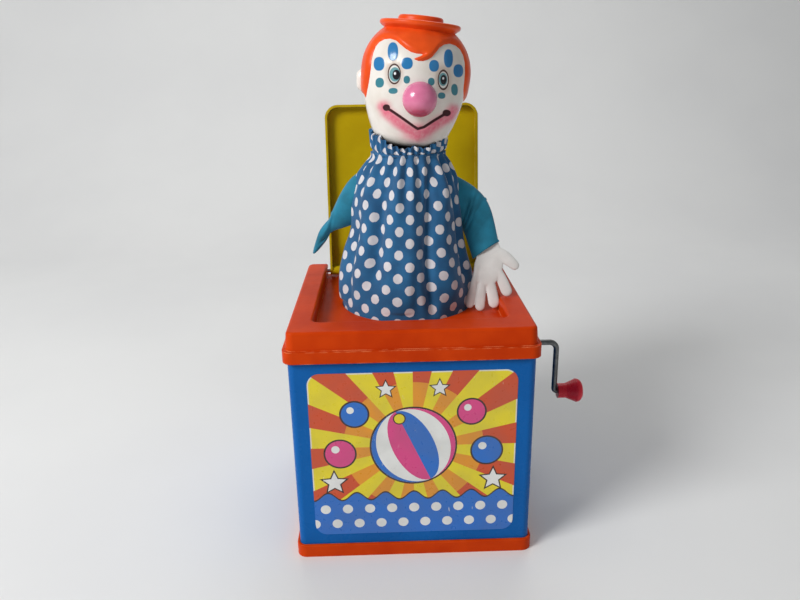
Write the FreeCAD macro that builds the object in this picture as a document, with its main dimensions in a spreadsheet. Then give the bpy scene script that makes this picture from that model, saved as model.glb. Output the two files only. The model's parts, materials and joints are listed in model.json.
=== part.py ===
import FreeCAD, Part
import math
import os
from types import SimpleNamespace

import Sketcher
from FreeCAD import Placement, Rotation, Vector

# Jack in the box: a tin music box with a hinged lid, a crank and a clown puppet on a long spring.
# Frame: origin at the middle of the underside, +X to the crank side, +Y to the back, +Z up, millimetres.
# The puppet is up and the lid stands open.

DRIVING_SIZES = {
    # tin box and its base
    "tin_width": 137.5, "tin_wall": 0.7, "tin_corner": 4.0, "tin_height": 128.5,
    "tray_out": 1.75, "tray_height": 8.0, "tray_floor": 2.5, "tray_edge": 0.8, "fit_gap": 0.15,
    "label_width": 117.0, "label_rise": 14.6, "label_top_gap": 6.9, "label_corner": 7.0,
    "label_thick": 0.2,
    # moulded top
    "lip_out": 2.5, "lip_height": 7.0, "lip_corner": 6.0, "tin_tuck": 5.0,
    "rim_in": 1.75, "rim_height": 10.5, "rim_corner": 5.0, "rim_draft": 5.4, "rim_edge": 1.8,
    "frame_wall": 2.0, "side_rail": 14.5, "front_rail": 18.0, "pan_depth": 8.0, "pan_corner": 4.0,
    "pan_floor": 2.0, "hole_radius": 41.5, "puppet_y": 6.5, "collar_depth": 6.5, "collar_wall": 2.0,
    # lid and its hinge, with the lid's own sizes taken about the pin
    "pin_inset": 5.5, "pin_rise": 4.0, "pin_radius": 1.5, "running_gap": 0.05,
    "lid_side_gap": 2.25, "lid_front_gap": 1.0, "lid_corner": 9.0, "lid_thick": 2.0, "lid_under": 1.5,
    "flange_drop": 3.7, "flange_wall": 1.6, "knuckle_radius": 3.25, "knuckle_length": 20.0,
    "heel_reach": 3.8, "heel_width": 8.0, "heel_thick": 2.0, "lid_open": 99.0, "lid_edge": 0.8,
    "tab_width": 10.0, "tab_thick": 2.0, "tab_drop": 12.0, "tab_inset": 1.2, "nose_catch": 1.6,
    "nose_height": 3.0, "slot_gap": 0.7,
    # latch
    "latch_setback": 2.5, "latch_drop": 15.5, "latch_radius": 1.5, "latch_left": 8.0, "arm_gap": 0.55,
    "hook_width": 8.0, "hook_thick": 1.3, "hook_wall": 3.0, "hook_gap": 0.4, "latch_eye": 3.2,
    "lug_thick": 3.0, "lug_inner_x": 14.0, "lug_outer_x": 40.0, "follower_lead": 0.5,
    "follower_rise": 10.0, "arm_thick": 1.4, "arm_half": 1.5, "leaf_width": 6.0, "leaf_thick": 0.4,
    "leaf_length": 13.0,
    # main spring and its seat
    "wire_radius": 0.5, "coil_radius": 17.5, "coil_turns": 9.0, "closed_rise": 2.8, "spring_gap": 2.2,
    "seat_margin": 3.6, "seat_thick": 2.5, "seat_fit": 0.4, "seat_boss_height": 4.0,
    "seat_screw_circle": 10.0, "seat_screw_radius": 1.4, "seat_head_radius": 2.8, "seat_head_height": 1.2,
    "ring_fit": 0.4, "ring_wall": 1.2, "ring_height": 5.0, "ring_gap": 4.0,
    # crank, drum and music cage
    "crank_drop": 25.0, "crank_wire": 1.8, "crank_stub": 2.0, "crank_reach": 28.05, "crank_throw": 35.0,
    "crank_bend": 5.0, "knob_bend": 2.1, "knob_seat": 12.6, "bush_radius": 4.0, "bush_flange": 6.5,
    "flange_thick": 1.2, "knob_length": 16.4, "knob_shank": 4.9, "knob_end": 7.8, "knob_round": 4.2,
    "knob_neck": 5.5,
    "gear_module": 1.0, "pinion_teeth": 10.0, "wheel_teeth": 40.0, "gear_thick": 3.6,
    "tooth_rise": 0.85, "tooth_drop": 1.15, "tooth_root": 0.62, "tooth_tip": 0.24,
    "cam_radius": 12.0, "cam_lobe": 17.0, "cam_thick": 1.6, "cam_gap": 0.65, "lobe_width": 6.0,
    "drum_radius": 15.0, "drum_gap": 0.8, "drum_length": 10.4, "drum_pin": 0.5, "drum_pin_rise": 0.8,
    "drum_row_pins": 5.0, "axle_radius": 1.5, "plate_gap": 1.0,
    "plate_thick": 2.0, "plate_front": 46.0, "plate_back": 25.0, "plate_under": 24.0, "plate_over": 10.0,
    "post_radius": 2.5, "post_inset": 4.0, "screw_inset": 10.0,
    "cage_screw_radius": 1.2, "cage_head_radius": 2.6, "cage_head_height": 1.1,
    "clip_radius": 3.6, "clip_thick": 1.0, "clip_gap": 0.5, "clip_mouth": 2.88,
    "comb_thick": 0.8, "tine_width": 0.9, "tine_pitch": 1.25, "tine_count": 8.0, "tine_gap": 0.4,
    "comb_inset": 1.0, "comb_depth": 8.0, "comb_bar_high": 3.4, "comb_screw_radius": 1.0,
    "comb_screw_pitch": 5.2, "comb_head_radius": 1.9, "comb_head_height": 1.0,
    # puppet's head, measured up its own axis from the neck
    "neck_x": 1.8, "neck_rise": 2.7, "head_roll": 6.4, "head_turn": 4.5, "chin_radius": 11.6,
    "chin_height": 3.2, "chin_bend": 12.0, "jaw_radius": 22.4, "jaw_height": 10.0, "head_radius": 30.2,
    "cheek_height": 44.4, "scalp_radius": 18.4, "scalp_height": 66.5, "head_wall": 2.0,
    "spigot_radius": 9.0, "hair_thick": 1.6, "hair_low": 31.0,
    "face_half": 25.4, "face_side_drop": 19.0, "lobe_x": 15.5, "lobe_drop": 5.3, "lock_x": 6.5,
    "lock_drop": 9.0, "lock_tip_drop": 15.0, "lobe_outer_bend": 19.0, "lobe_inner_bend": 12.0,
    "brim_out": 2.9, "brim_height": 5.0, "brim_round": 1.2, "hat_foot": 19.8, "crown_radius": 12.8,
    "crown_height": 7.4, "crown_round": 1.4, "nose_radius": 9.3, "nose_height_up": 31.0,
    "nose_forward": 28.3,
    "plug_flange": 18.9, "plug_low": 6.6, "plug_thick": 2.6, "plug_collar": 10.8, "spigot_length": 5.0,
    "band_wall": 1.2, "band_height": 1.8, "cloth_gap": 0.1,
    # cloth: each gown ring stands above the one before it
    "cloth_thick": 1.0, "gown_folds": 12.0, "fold_depth": 1.4, "fold_unevenness": 0.45,
    "fold_wander": 2.3, "hem_drop": 5.9, "skirt_rise": 25.2, "skirt_radius": 37.5, "waist_rise": 22.3,
    "waist_radius": 33.6, "chest_rise": 18.0, "chest_radius": 30.4, "shoulder_rise": 12.0,
    "shoulder_radius": 25.6, "gather_rise": 6.5, "neck_gather": 21.9,
    "ruffle_folds": 15.0, "ruffle_height": 7.5, "ruffle_spread": 25.2, "ruffle_depth": 0.6,
    # arms: armholes below the chest ring, cuffs above the rim, hands in their own plane
    "armhole_drop": 5.5, "cuff_rise": 24.8, "hand_thick": 2.4, "palm_width": 18.5, "palm_length": 17.5,
    "wrist_half": 6.1, "knuckle_rise": 9.6, "finger_width": 5.4, "finger_length": 18.5,
    "thumb_across": 4.6, "thumb_rise": 4.0, "thumb_spread": 66.0, "thumb_length": 14.0,
}

doc = FreeCAD.newDocument("jack_in_the_box")
sheet = doc.addObject("Spreadsheet::Sheet", "sizes")
for row, (alias, number) in enumerate(DRIVING_SIZES.items(), start=1):
    sheet.set(f"A{row}", alias)
    sheet.set(f"B{row}", str(number))
    sheet.setAlias(f"B{row}", alias)
doc.recompute()


class Size:
    """A length with its number and the sheet expression that gives it."""

    def __init__(self, text, number):
        self.text = text
        self.number = number

    def __add__(self, other):
        other = as_size(other)
        return Size(f"({self.text} + {other.text})", self.number + other.number)

    def __sub__(self, other):
        other = as_size(other)
        return Size(f"({self.text} - {other.text})", self.number - other.number)

    def __mul__(self, other):
        other = as_size(other)
        return Size(f"({self.text} * {other.text})", self.number * other.number)

    def __truediv__(self, other):
        other = as_size(other)
        return Size(f"({self.text} / {other.text})", self.number / other.number)

    def __neg__(self):
        return as_size(0) - self

    def root(self):
        return Size(f"sqrt({self.text})", math.sqrt(self.number))


def as_size(value):
    return value if isinstance(value, Size) else Size(f"({float(value)!r})", float(value))


S = SimpleNamespace(**{alias: Size(f"sizes.{alias}", number) for alias, number in DRIVING_SIZES.items()})
ORIGIN = Vector(0, 0, 0)
TURN_TO = {
    "x": Rotation(Vector(0, 1, 0), 90),
    "y": Rotation(Vector(1, 0, 0), -90),
    "z": Rotation(),
}
nodes = {}


# Levels and places that several pieces share
tin_top = S.tray_floor + S.tin_height
tin_half = S.tin_width / 2
crank_z = tin_top - S.crank_drop
lip_low = tin_top - S.tin_tuck
lip_top = lip_low + S.lip_height
label_height = lip_low - S.label_rise - S.label_top_gap
rim_top = lip_top + S.rim_height
pan_top = rim_top - S.pan_depth
pan_under = pan_top - S.pan_floor
pin_z = pan_top + S.pin_rise
lip_width = S.tin_width + S.lip_out * 2
rim_half = lip_width / 2 - S.rim_in
rim_lean = S.rim_height * math.tan(math.radians(S.rim_draft.number))
cavity_half = rim_half - S.frame_wall - rim_lean
pan_half = rim_half - S.side_rail
pan_front = rim_half - S.front_rail
pan_wall_x = pan_half + S.frame_wall
pan_wall_y = pan_front + S.frame_wall
pin_y = rim_half - S.pin_inset
lid_reach = pin_y + pan_front - S.lid_front_gap
tab_front = lid_reach - S.tab_inset
latch_pin_y = -(pan_front + S.latch_setback)
latch_z = pan_under - S.latch_drop
plate_outer_x = tin_half - S.tin_wall - S.plate_thick
gear_x = plate_outer_x - S.cam_gap - S.cam_thick - S.gear_thick
drum_x = gear_x - S.drum_gap - S.drum_length
cage_x = drum_x - S.plate_gap
plate_inner_x = cage_x - S.plate_thick
wheel_drop = S.gear_module * (S.pinion_teeth + S.wheel_teeth) / 2
drum_z = crank_z - wheel_drop
plate_low = drum_z - S.plate_under
plate_high = crank_z + S.plate_over
seat_top = S.tray_floor + S.seat_thick
seat_boss = S.coil_radius - S.wire_radius - S.seat_fit
crank_arm_x = tin_half + S.crank_reach
knob_start = crank_arm_x + S.knob_bend
crank_end = knob_start + S.knob_seat
hem_radius = S.hole_radius - S.cloth_gap * 3
skirt_z = rim_top + S.skirt_rise
waist_z = skirt_z + S.waist_rise
chest_z = waist_z + S.chest_rise
shoulder_z = chest_z + S.shoulder_rise
gather_z = shoulder_z + S.gather_rise
neck_z = gather_z + S.neck_rise
spring_top = neck_z - S.plug_low - S.spring_gap


def bind(target, path, value):
    target.setExpression(path, as_size(value).text)


def place(target, x, y, z):
    for letter, value in zip("xyz", (x, y, z)):
        bind(target, f"Placement.Base.{letter}", value)


def keep(label, target):
    target.Label = label
    nodes[label] = target
    return target


def cylinder(name, radius, length, x, y, z, axis="z"):
    solid = doc.addObject("Part::Cylinder", name)
    solid.Placement = Placement(ORIGIN, TURN_TO[axis])
    bind(solid, "Radius", radius)
    bind(solid, "Height", length)
    place(solid, x, y, z)
    return solid


def brick(name, x, y, z, wide, deep, high):
    solid = doc.addObject("Part::Box", name)
    for side, value in (("Length", wide), ("Width", deep), ("Height", high)):
        bind(solid, side, value)
    place(solid, x, y, z)
    return solid


def join(name, pieces):
    whole = doc.addObject("Part::MultiFuse", name)
    whole.Shapes = pieces
    return whole


def cut(name, base, tools):
    rest = doc.addObject("Part::Cut", name)
    rest.Base = base
    rest.Tool = tools[0] if len(tools) == 1 else join(f"{name}_tools", tools)
    return rest


def group(name, pieces):
    bundle = doc.addObject("Part::Compound", name)
    bundle.Links = pieces
    return bundle


def free_form(name, shape):
    form = doc.addObject("Part::Feature", name)
    form.Shape = shape
    return form


def new_body(name):
    return doc.addObject("PartDesign::Body", name)


def new_sketch(body, name, role, shift=0):
    sketch = body.newObject("Sketcher::SketchObject", f"{body.Name}_{name}")
    planes = {feature.Role: feature for feature in body.Origin.OriginFeatures}
    sketch.AttachmentSupport = [(planes[role], "")]
    sketch.MapMode = "FlatFace"
    bind(sketch, "AttachmentOffset.Base.z", shift)
    return sketch


def hold(sketch, geometry, spot, x, y):
    for kind, axis, value in (("DistanceX", -2, x), ("DistanceY", -1, y)):
        value = as_size(value)
        if value.number == 0:
            sketch.addConstraint(Sketcher.Constraint("PointOnObject", geometry, spot, axis))
            continue
        index = sketch.addConstraint(Sketcher.Constraint(kind, -1, 1, geometry, spot, value.number))
        bind(sketch, f"Constraints[{index}]", value)


def hold_radius(sketch, geometry, radius):
    index = sketch.addConstraint(Sketcher.Constraint("Radius", geometry, radius.number))
    bind(sketch, f"Constraints[{index}]", radius)


def ring(sketch, x, y, radius):
    centre = Vector(as_size(x).number, as_size(y).number, 0)
    geometry = sketch.addGeometry(Part.Circle(centre, Vector(0, 0, 1), radius.number))
    hold(sketch, geometry, 3, x, y)
    hold_radius(sketch, geometry, radius)


def arc_between(start, end, radius, left):
    chord = end - start
    rise = math.sqrt(max(radius ** 2 - chord.Length ** 2 / 4, 0))
    side = Vector(-chord.y, chord.x, 0).normalize() * (rise if left else -rise)
    centre = (start + end) / 2 + side
    first, last = (start, end) if left else (end, start)
    angles = [math.atan2(spot.y - centre.y, spot.x - centre.x) for spot in (first, last)]
    if angles[1] < angles[0]:
        angles[1] += 2 * math.pi
    return Part.ArcOfCircle(Part.Circle(centre, Vector(0, 0, 1), radius), *angles)


def outline(sketch, corners, closed=True):
    """Corners are (x, y) before a straight side, or (x, y, radius, turns_left) before an arc."""
    spots = [Vector(as_size(corner[0]).number, as_size(corner[1]).number, 0) for corner in corners]
    count = len(corners) if closed else len(corners) - 1
    ends = []
    for index in range(count):
        corner = corners[index]
        start, end = spots[index], spots[(index + 1) % len(spots)]
        if len(corner) == 2:
            ends.append((sketch.addGeometry(Part.LineSegment(start, end)), 1, 2))
            continue
        radius, left = corner[2], corner[3]
        geometry = sketch.addGeometry(arc_between(start, end, radius.number, left))
        hold_radius(sketch, geometry, radius)
        ends.append((geometry, 1, 2) if left else (geometry, 2, 1))
    for index, (geometry, first, last) in enumerate(ends):
        hold(sketch, geometry, first, *corners[index][:2])
        if closed or index + 1 < count:
            after = ends[(index + 1) % count]
            sketch.addConstraint(Sketcher.Constraint("Coincident", geometry, last, after[0], after[1]))
        else:
            hold(sketch, geometry, last, *corners[index + 1][:2])


def rounded(sketch, wide, deep, corner, mid_x=0, mid_y=0):
    left = as_size(mid_x) - wide / 2
    right = as_size(mid_x) + wide / 2
    low = as_size(mid_y) - deep / 2
    high = as_size(mid_y) + deep / 2
    outline(sketch, [
        (left + corner, low), (right - corner, low, corner, True),
        (right, low + corner), (right, high - corner, corner, True),
        (right - corner, high), (left + corner, high, corner, True),
        (left, high - corner), (left, low + corner, corner, True),
    ])


def feature(body, kind, sketch, length, reverse, both):
    made = body.newObject(f"PartDesign::{kind}", f"{sketch.Name}_{kind.lower()}")
    made.Profile = sketch
    bind(made, "Length", length)
    made.Reversed = reverse
    if both:
        made.SideType = "Symmetric"
    sketch.Visibility = False
    return made


def pad(body, sketch, length, reverse=False, both=False):
    return feature(body, "Pad", sketch, length, reverse, both)


def pocket(body, sketch, length, reverse=False, both=False):
    return feature(body, "Pocket", sketch, length, reverse, both)


def revolve(body, sketch, axis):
    made = body.newObject("PartDesign::Revolution", f"{sketch.Name}_turned")
    made.Profile = sketch
    made.ReferenceAxis = (sketch, [axis])
    made.Angle = 360
    return made


def soften(body, radius, wanted):
    """Rounds the edges of the body's last feature that the test picks."""
    doc.recompute()
    tip = body.Tip
    names = [f"Edge{index}" for index, edge in enumerate(tip.Shape.Edges, start=1) if wanted(edge)]
    made = body.newObject("PartDesign::Fillet", f"{body.Name}_soft{len(body.Group)}")
    made.Base = (tip, names)
    bind(made, "Radius", radius)
    return made


def lies_at(height):
    return lambda edge: edge.BoundBox.ZLength < 0.01 and abs(edge.BoundBox.ZMin - height.number) < 0.01


def around(circle, count, start):
    """Places evenly spaced on a circle, as pairs of sizes."""
    turns = [math.radians(start + 360 * index / count) for index in range(count)]
    return [(circle * math.cos(turn), circle * math.sin(turn)) for turn in turns]


# Box
seat_screw_spots = around(S.seat_screw_circle, 3, 90)


def make_base_tray():
    body = new_body("base_tray_body")
    outer = new_sketch(body, "outer", "XY_Plane")
    tray_width = S.tin_width + S.tray_out * 2
    rounded(outer, tray_width, tray_width, S.lip_corner)
    pad(body, outer, S.tray_height)
    soften(body, S.tray_edge, lies_at(S.tray_height))
    inside = new_sketch(body, "inside", "XY_Plane", S.tray_height)
    socket = S.tin_width + S.fit_gap * 2
    rounded(inside, socket, socket, S.tin_corner + S.fit_gap)
    pocket(body, inside, S.tray_height - S.tray_floor)
    holes = new_sketch(body, "holes", "XY_Plane", S.tray_floor)
    heads = new_sketch(body, "heads", "XY_Plane", S.seat_head_height)
    for x, y in seat_screw_spots:
        ring(holes, x, y + S.puppet_y, S.seat_screw_radius)
        ring(heads, x, y + S.puppet_y, S.seat_head_radius)
    pocket(body, holes, S.tray_floor)
    pocket(body, heads, S.seat_head_height)
    keep("base_tray", body)


def cage_screw_spots():
    low = plate_low + S.screw_inset
    high = plate_high - S.screw_inset
    return [(-S.plate_front + S.post_inset, low), (S.plate_back - S.post_inset, low),
            (-S.plate_front + S.post_inset, high), (S.plate_back - S.post_inset, high)]


def make_tin_body():
    body = new_body("tin_body_body")
    wall = new_sketch(body, "wall", "XY_Plane", S.tray_floor)
    rounded(wall, S.tin_width, S.tin_width, S.tin_corner)
    inner = S.tin_width - S.tin_wall * 2
    rounded(wall, inner, inner, S.tin_corner - S.tin_wall)
    pad(body, wall, S.tin_height)
    holes = new_sketch(body, "holes", "YZ_Plane", plate_inner_x)
    ring(holes, 0, crank_z, S.bush_radius)
    for y, z in cage_screw_spots():
        ring(holes, y, z, S.cage_screw_radius)
    pocket(body, holes, S.tin_width / 2, reverse=True)
    keep("tin_body", body)


def make_front_label():
    body = new_body("front_label_body")
    sheet_outline = new_sketch(body, "sheet", "XZ_Plane", tin_half)
    rounded(sheet_outline, S.label_width, label_height, S.label_corner,
            mid_y=S.label_rise + label_height / 2)
    pad(body, sheet_outline, S.label_thick)
    keep("front_label", body)


def lug_outline(sketch):
    """Hanging lug of the latch, from the front rim down past the latch's pin."""
    low = latch_z - S.latch_eye
    outline(sketch, [
        (latch_pin_y - S.latch_eye, rim_top - S.frame_wall), (latch_pin_y - S.latch_eye, low),
        (latch_pin_y + S.latch_eye, low), (latch_pin_y + S.latch_eye, rim_top - S.frame_wall),
    ])


def make_top_frame():
    body = new_body("top_frame_body")
    lip = new_sketch(body, "lip", "XY_Plane", lip_low)
    rounded(lip, lip_width, lip_width, S.lip_corner)
    pad(body, lip, S.lip_height)
    rim = new_sketch(body, "rim", "XY_Plane", lip_top)
    rounded(rim, rim_half * 2, rim_half * 2, S.rim_corner)
    sloped = pad(body, rim, S.rim_height)
    bind(sloped, "TaperAngle", -S.rim_draft)
    recess = new_sketch(body, "recess", "XY_Plane", rim_top)
    recess_deep = pan_front + lip_width
    rounded(recess, pan_half * 2, recess_deep, S.pan_corner, mid_y=recess_deep / 2 - pan_front)
    pocket(body, recess, S.pan_depth)
    soften(body, S.rim_edge, lies_at(rim_top))
    socket = new_sketch(body, "socket", "XY_Plane", tin_top)
    socket_wide = S.tin_width + S.fit_gap * 2
    rounded(socket, socket_wide, socket_wide, S.tin_corner + S.fit_gap)
    pocket(body, socket, S.tin_tuck)
    hollow = new_sketch(body, "hollow", "XY_Plane", pan_under)
    rounded(hollow, cavity_half * 2, cavity_half * 2, S.tin_corner)
    pocket(body, hollow, pan_under - lip_low)
    channel = new_sketch(body, "channel", "XY_Plane", rim_top - S.frame_wall)
    outline(channel, [
        (-cavity_half, -cavity_half), (cavity_half, -cavity_half), (cavity_half, cavity_half),
        (pan_wall_x, cavity_half), (pan_wall_x, -pan_wall_y), (-pan_wall_x, -pan_wall_y),
        (-pan_wall_x, cavity_half), (-cavity_half, cavity_half),
    ])
    pocket(body, channel, rim_top - S.frame_wall - lip_low)
    collar = new_sketch(body, "collar", "XY_Plane", pan_under)
    ring(collar, 0, S.puppet_y, S.hole_radius + S.collar_wall)
    pad(body, collar, S.collar_depth, reverse=True)
    for name, lug_x in (("inner_lug", S.lug_inner_x), ("outer_lug", S.lug_outer_x)):
        lug = new_sketch(body, name, "YZ_Plane", lug_x)
        lug_outline(lug)
        pad(body, lug, S.lug_thick)
    hole = new_sketch(body, "hole", "XY_Plane", pan_top)
    ring(hole, 0, S.puppet_y, S.hole_radius)
    pocket(body, hole, S.pan_floor + S.collar_depth)
    slot = new_sketch(body, "slot", "XY_Plane", pan_top)
    slot_low = pin_y - tab_front - S.nose_catch - S.slot_gap
    slot_high = pin_y - tab_front + S.tab_thick + S.slot_gap * 2
    slot_half = S.tab_width / 2 + S.slot_gap
    outline(slot, [(-slot_half, slot_low), (slot_half, slot_low), (slot_half, slot_high),
                   (-slot_half, slot_high)])
    pocket(body, slot, S.pan_floor)
    bores = new_sketch(body, "pin_bores", "YZ_Plane")
    ring(bores, pin_y, pin_z, S.pin_radius + S.running_gap)
    pocket(body, bores, pan_wall_x * 2, both=True)
    eyes = new_sketch(body, "latch_bores", "YZ_Plane", S.lug_inner_x)
    ring(eyes, latch_pin_y, latch_z, S.latch_radius + S.running_gap)
    pocket(body, eyes, S.lug_outer_x, reverse=True)
    keep("top_frame", body)


def make_hem_ring():
    low = pan_under - S.ring_height
    radius = hem_radius - S.cloth_thick - S.ring_fit
    outer = cylinder("ring_outer", radius, S.ring_height, 0, S.puppet_y, low)
    inner = cylinder("ring_inner", radius - S.ring_wall, S.ring_height, 0, S.puppet_y, low)
    split = brick("ring_split", -S.ring_gap / 2, S.puppet_y, low, S.ring_gap, S.hole_radius, S.ring_height)
    keep("hem_ring", cut("hem_ring_hoop", outer, [inner, split]))


def make_spring_seat():
    body = new_body("spring_seat_body")
    disc = new_sketch(body, "disc", "XY_Plane")
    ring(disc, 0, 0, S.coil_radius + S.wire_radius + S.seat_margin)
    pad(body, disc, S.seat_thick)
    boss = new_sketch(body, "boss", "XY_Plane", S.seat_thick)
    ring(boss, 0, 0, seat_boss)
    pad(body, boss, S.seat_boss_height)
    holes = new_sketch(body, "holes", "XY_Plane")
    for x, y in seat_screw_spots:
        ring(holes, x, y, S.seat_screw_radius)
    pocket(body, holes, S.seat_thick + S.seat_boss_height - S.tray_floor / 2, reverse=True)
    place(body, 0, S.puppet_y, S.tray_floor)
    keep("spring_seat", body)


def make_seat_screws():
    screws = []
    shank = S.tray_floor / 2 + S.seat_thick + S.seat_boss_height
    for index, (x, y) in enumerate(seat_screw_spots):
        y = y + S.puppet_y
        head = cylinder(f"seat_head_{index}", S.seat_head_radius - S.running_gap, S.seat_head_height, x, y, 0)
        stem = cylinder(f"seat_stem_{index}", S.seat_screw_radius - S.running_gap, shank - S.seat_head_height,
                        x, y, S.seat_head_height)
        screws.append(join(f"seat_screw_{index}", [head, stem]))
    keep("spring_seat_screws", group("seat_screw_set", screws))


# Main spring: a coil with closed end turns, drawn on pairs of arcs that share their tangents
def biarc(start, start_way, end, end_way):
    span = end - start
    ways = start_way + end_way
    bend = 2 * (start_way.dot(end_way) - 1)
    along = span.dot(ways)
    reach = (along - math.sqrt(along ** 2 - bend * span.dot(span))) / bend
    first, last = start + start_way * reach, end - end_way * reach
    joint = (first + last) / 2
    edges = []
    for begin, control, finish in ((start, first, joint), (joint, last, end)):
        weight = math.cos((control - begin).getAngle(finish - begin))
        middle = (begin + control * (2 * weight) + finish) / (2 + 2 * weight)
        edges.append(Part.Arc(begin, middle, finish).toShape())
    return edges


QUARTERS = 4


def coil_stations():
    """Spot and direction at each quarter turn; the end turns lie closed and the rise swells in between."""
    quarters = int(round(S.coil_turns.number * QUARTERS))
    low = seat_top.number + S.wire_radius.number + 2 * S.cloth_gap.number
    total = spring_top.number - S.wire_radius.number - low
    closed = S.closed_rise.number / QUARTERS
    weights = [min(max(min(index - QUARTERS + 1, quarters - QUARTERS - index), 0), QUARTERS) / QUARTERS
               for index in range(quarters)]
    opened = (total - closed * quarters) / sum(weights)
    rises = [closed + opened * weight for weight in weights]
    stations = []
    height = low
    for index in range(quarters + 1):
        turn = index * math.pi / 2
        slope = (rises[max(index - 1, 0)] + rises[min(index, quarters - 1)]) / 2
        spot = Vector(S.coil_radius.number * math.cos(turn), S.coil_radius.number * math.sin(turn), height)
        way = Vector(-math.sin(turn), math.cos(turn), slope / (S.coil_radius.number * math.pi / 2))
        stations.append((spot, way.normalize()))
        height += rises[min(index, quarters - 1)]
    return stations


def make_main_spring():
    stations = coil_stations()
    tail = 2 * S.wire_radius.number
    first, first_way = stations[0]
    last, last_way = stations[-1]
    edges = [Part.LineSegment(first - first_way * tail, first).toShape()]
    for (start, start_way), (end, end_way) in zip(stations, stations[1:]):
        edges += biarc(start, start_way, end, end_way)
    edges.append(Part.LineSegment(last, last + last_way * tail).toShape())
    path = Part.Wire(edges)
    section = Part.Wire(Part.makeCircle(S.wire_radius.number, first - first_way * tail, first_way))
    tube = path.makePipeShell([section], True, False)
    spring = free_form("main_spring_wire", tube)
    spring.Placement = Placement(Vector(0, S.puppet_y.number, 0), Rotation())
    samples = 6
    points = [point for edge in path.Edges for point in edge.discretize(samples)[:-1]]
    apart = samples * (QUARTERS + 1)
    gaps = [(points[one] - points[two]).Length - tail
            for one in range(len(points)) for two in range(one + apart, len(points))]
    print("main spring: least gap to itself", round(min(gaps), 2), "mm, volume share",
          round(tube.Volume / (path.Length * math.pi * S.wire_radius.number ** 2), 4))
    keep("main_spring", spring)


# Crank, drum and music cage
def make_crank_bush():
    depth = tin_half - plate_outer_x
    barrel = cylinder("bush_barrel", S.bush_radius, depth, plate_outer_x, 0, crank_z, "x")
    flange = cylinder("bush_flange", S.bush_flange, S.flange_thick, tin_half, 0, crank_z, "x")
    bore = cylinder("bush_bore", S.crank_wire + S.running_gap, S.tin_width, 0, 0, crank_z, "x")
    keep("crank_bush", cut("crank_bush_turned", join("bush_blank", [barrel, flange]), [bore]))


def plate(name, x, bores):
    deep = S.plate_front + S.plate_back
    high = plate_high - plate_low
    blank = brick(f"{name}_blank", x, -S.plate_front, plate_low, S.plate_thick, deep, high)
    tools = [cylinder(f"{name}_bore_{index}", radius, S.plate_thick, x, y, z, "x")
             for index, (y, z, radius) in enumerate(bores)]
    return cut(f"{name}_drilled", blank, tools)


def make_cage():
    axle_bore = (0, drum_z, S.axle_radius + S.running_gap)
    screw_bores = [(y, z, S.cage_screw_radius) for y, z in cage_screw_spots()]
    outer_bores = [axle_bore, (0, crank_z, S.bush_radius), *screw_bores]
    inner_bores = [axle_bore, (0, crank_z, S.crank_wire + S.running_gap)]
    keep("chassis_outer_plate", plate("outer_plate", plate_outer_x, outer_bores))
    keep("chassis_inner_plate", plate("inner_plate", plate_inner_x, inner_bores))
    posts = []
    length = plate_outer_x - cage_x
    for y in (S.post_inset - S.plate_front, S.plate_back - S.post_inset):
        for z in (plate_low + S.post_inset, plate_high - S.post_inset):
            posts.append(cylinder(f"post_{len(posts)}", S.post_radius, length, cage_x, y, z, "x"))
    keep("chassis_posts", group("post_set", posts))
    screws = []
    for index, (y, z) in enumerate(cage_screw_spots()):
        head = cylinder(f"cage_head_{index}", S.cage_head_radius, S.cage_head_height, tin_half, y, z, "x")
        stem = cylinder(f"cage_stem_{index}", S.cage_screw_radius - S.running_gap, tin_half - plate_outer_x,
                        plate_outer_x, y, z, "x")
        screws.append(join(f"cage_screw_{index}", [head, stem]))
    keep("chassis_screws", group("cage_screw_set", screws))


comb_low = drum_z - S.comb_thick / 2
comb_front = S.plate_front - S.comb_inset
comb_back = comb_front - S.comb_depth
comb_mid_x = drum_x + S.drum_length / 2
comb_screw_spots = [comb_mid_x - S.comb_screw_pitch / 2, comb_mid_x + S.comb_screw_pitch / 2]


def make_comb():
    mid_y = -(comb_back + S.comb_depth / 2)
    bar = brick("comb_bar_blank", cage_x, -comb_front, comb_low - S.comb_bar_high, plate_outer_x - cage_x,
                S.comb_depth, S.comb_bar_high)
    bores = [cylinder(f"comb_bar_bore_{index}", S.comb_screw_radius, S.comb_bar_high, x, mid_y,
                      comb_low - S.comb_bar_high) for index, x in enumerate(comb_screw_spots)]
    keep("comb_bar", cut("comb_bar_drilled", bar, bores))
    body = new_body("comb_body")
    root = new_sketch(body, "root", "XY_Plane", comb_low)
    outline(root, [(drum_x, -comb_front), (drum_x + S.drum_length, -comb_front),
                   (drum_x + S.drum_length, -comb_back), (drum_x, -comb_back)])
    for x in comb_screw_spots:
        ring(root, x, mid_y, S.comb_screw_radius)
    pad(body, root, S.comb_thick)
    tine = new_sketch(body, "tine", "XY_Plane", comb_low)
    tip = -(S.drum_radius + S.drum_pin_rise + S.tine_gap)
    right = drum_x + S.tine_width
    outline(tine, [(drum_x, -comb_back), (right, -comb_back), (right, tip), (drum_x, tip)])
    first = pad(body, tine, S.comb_thick)
    row = body.newObject("PartDesign::LinearPattern", "comb_tines")
    row.Originals = [first]
    row.Direction = (tine, ["H_Axis"])
    bind(row, "Length", S.tine_pitch * (S.tine_count - 1))
    row.Occurrences = int(S.tine_count.number)
    body.Tip = row
    keep("comb", body)
    screws = []
    for index, x in enumerate(comb_screw_spots):
        top = comb_low + S.comb_thick
        head = cylinder(f"comb_head_{index}", S.comb_head_radius, S.comb_head_height, x, mid_y, top)
        stem = cylinder(f"comb_stem_{index}", S.comb_screw_radius - S.running_gap,
                        S.comb_thick + S.comb_bar_high, x, mid_y, comb_low - S.comb_bar_high)
        screws.append(join(f"comb_screw_{index}", [head, stem]))
    keep("comb_screws", group("comb_screw_set", screws))


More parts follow.
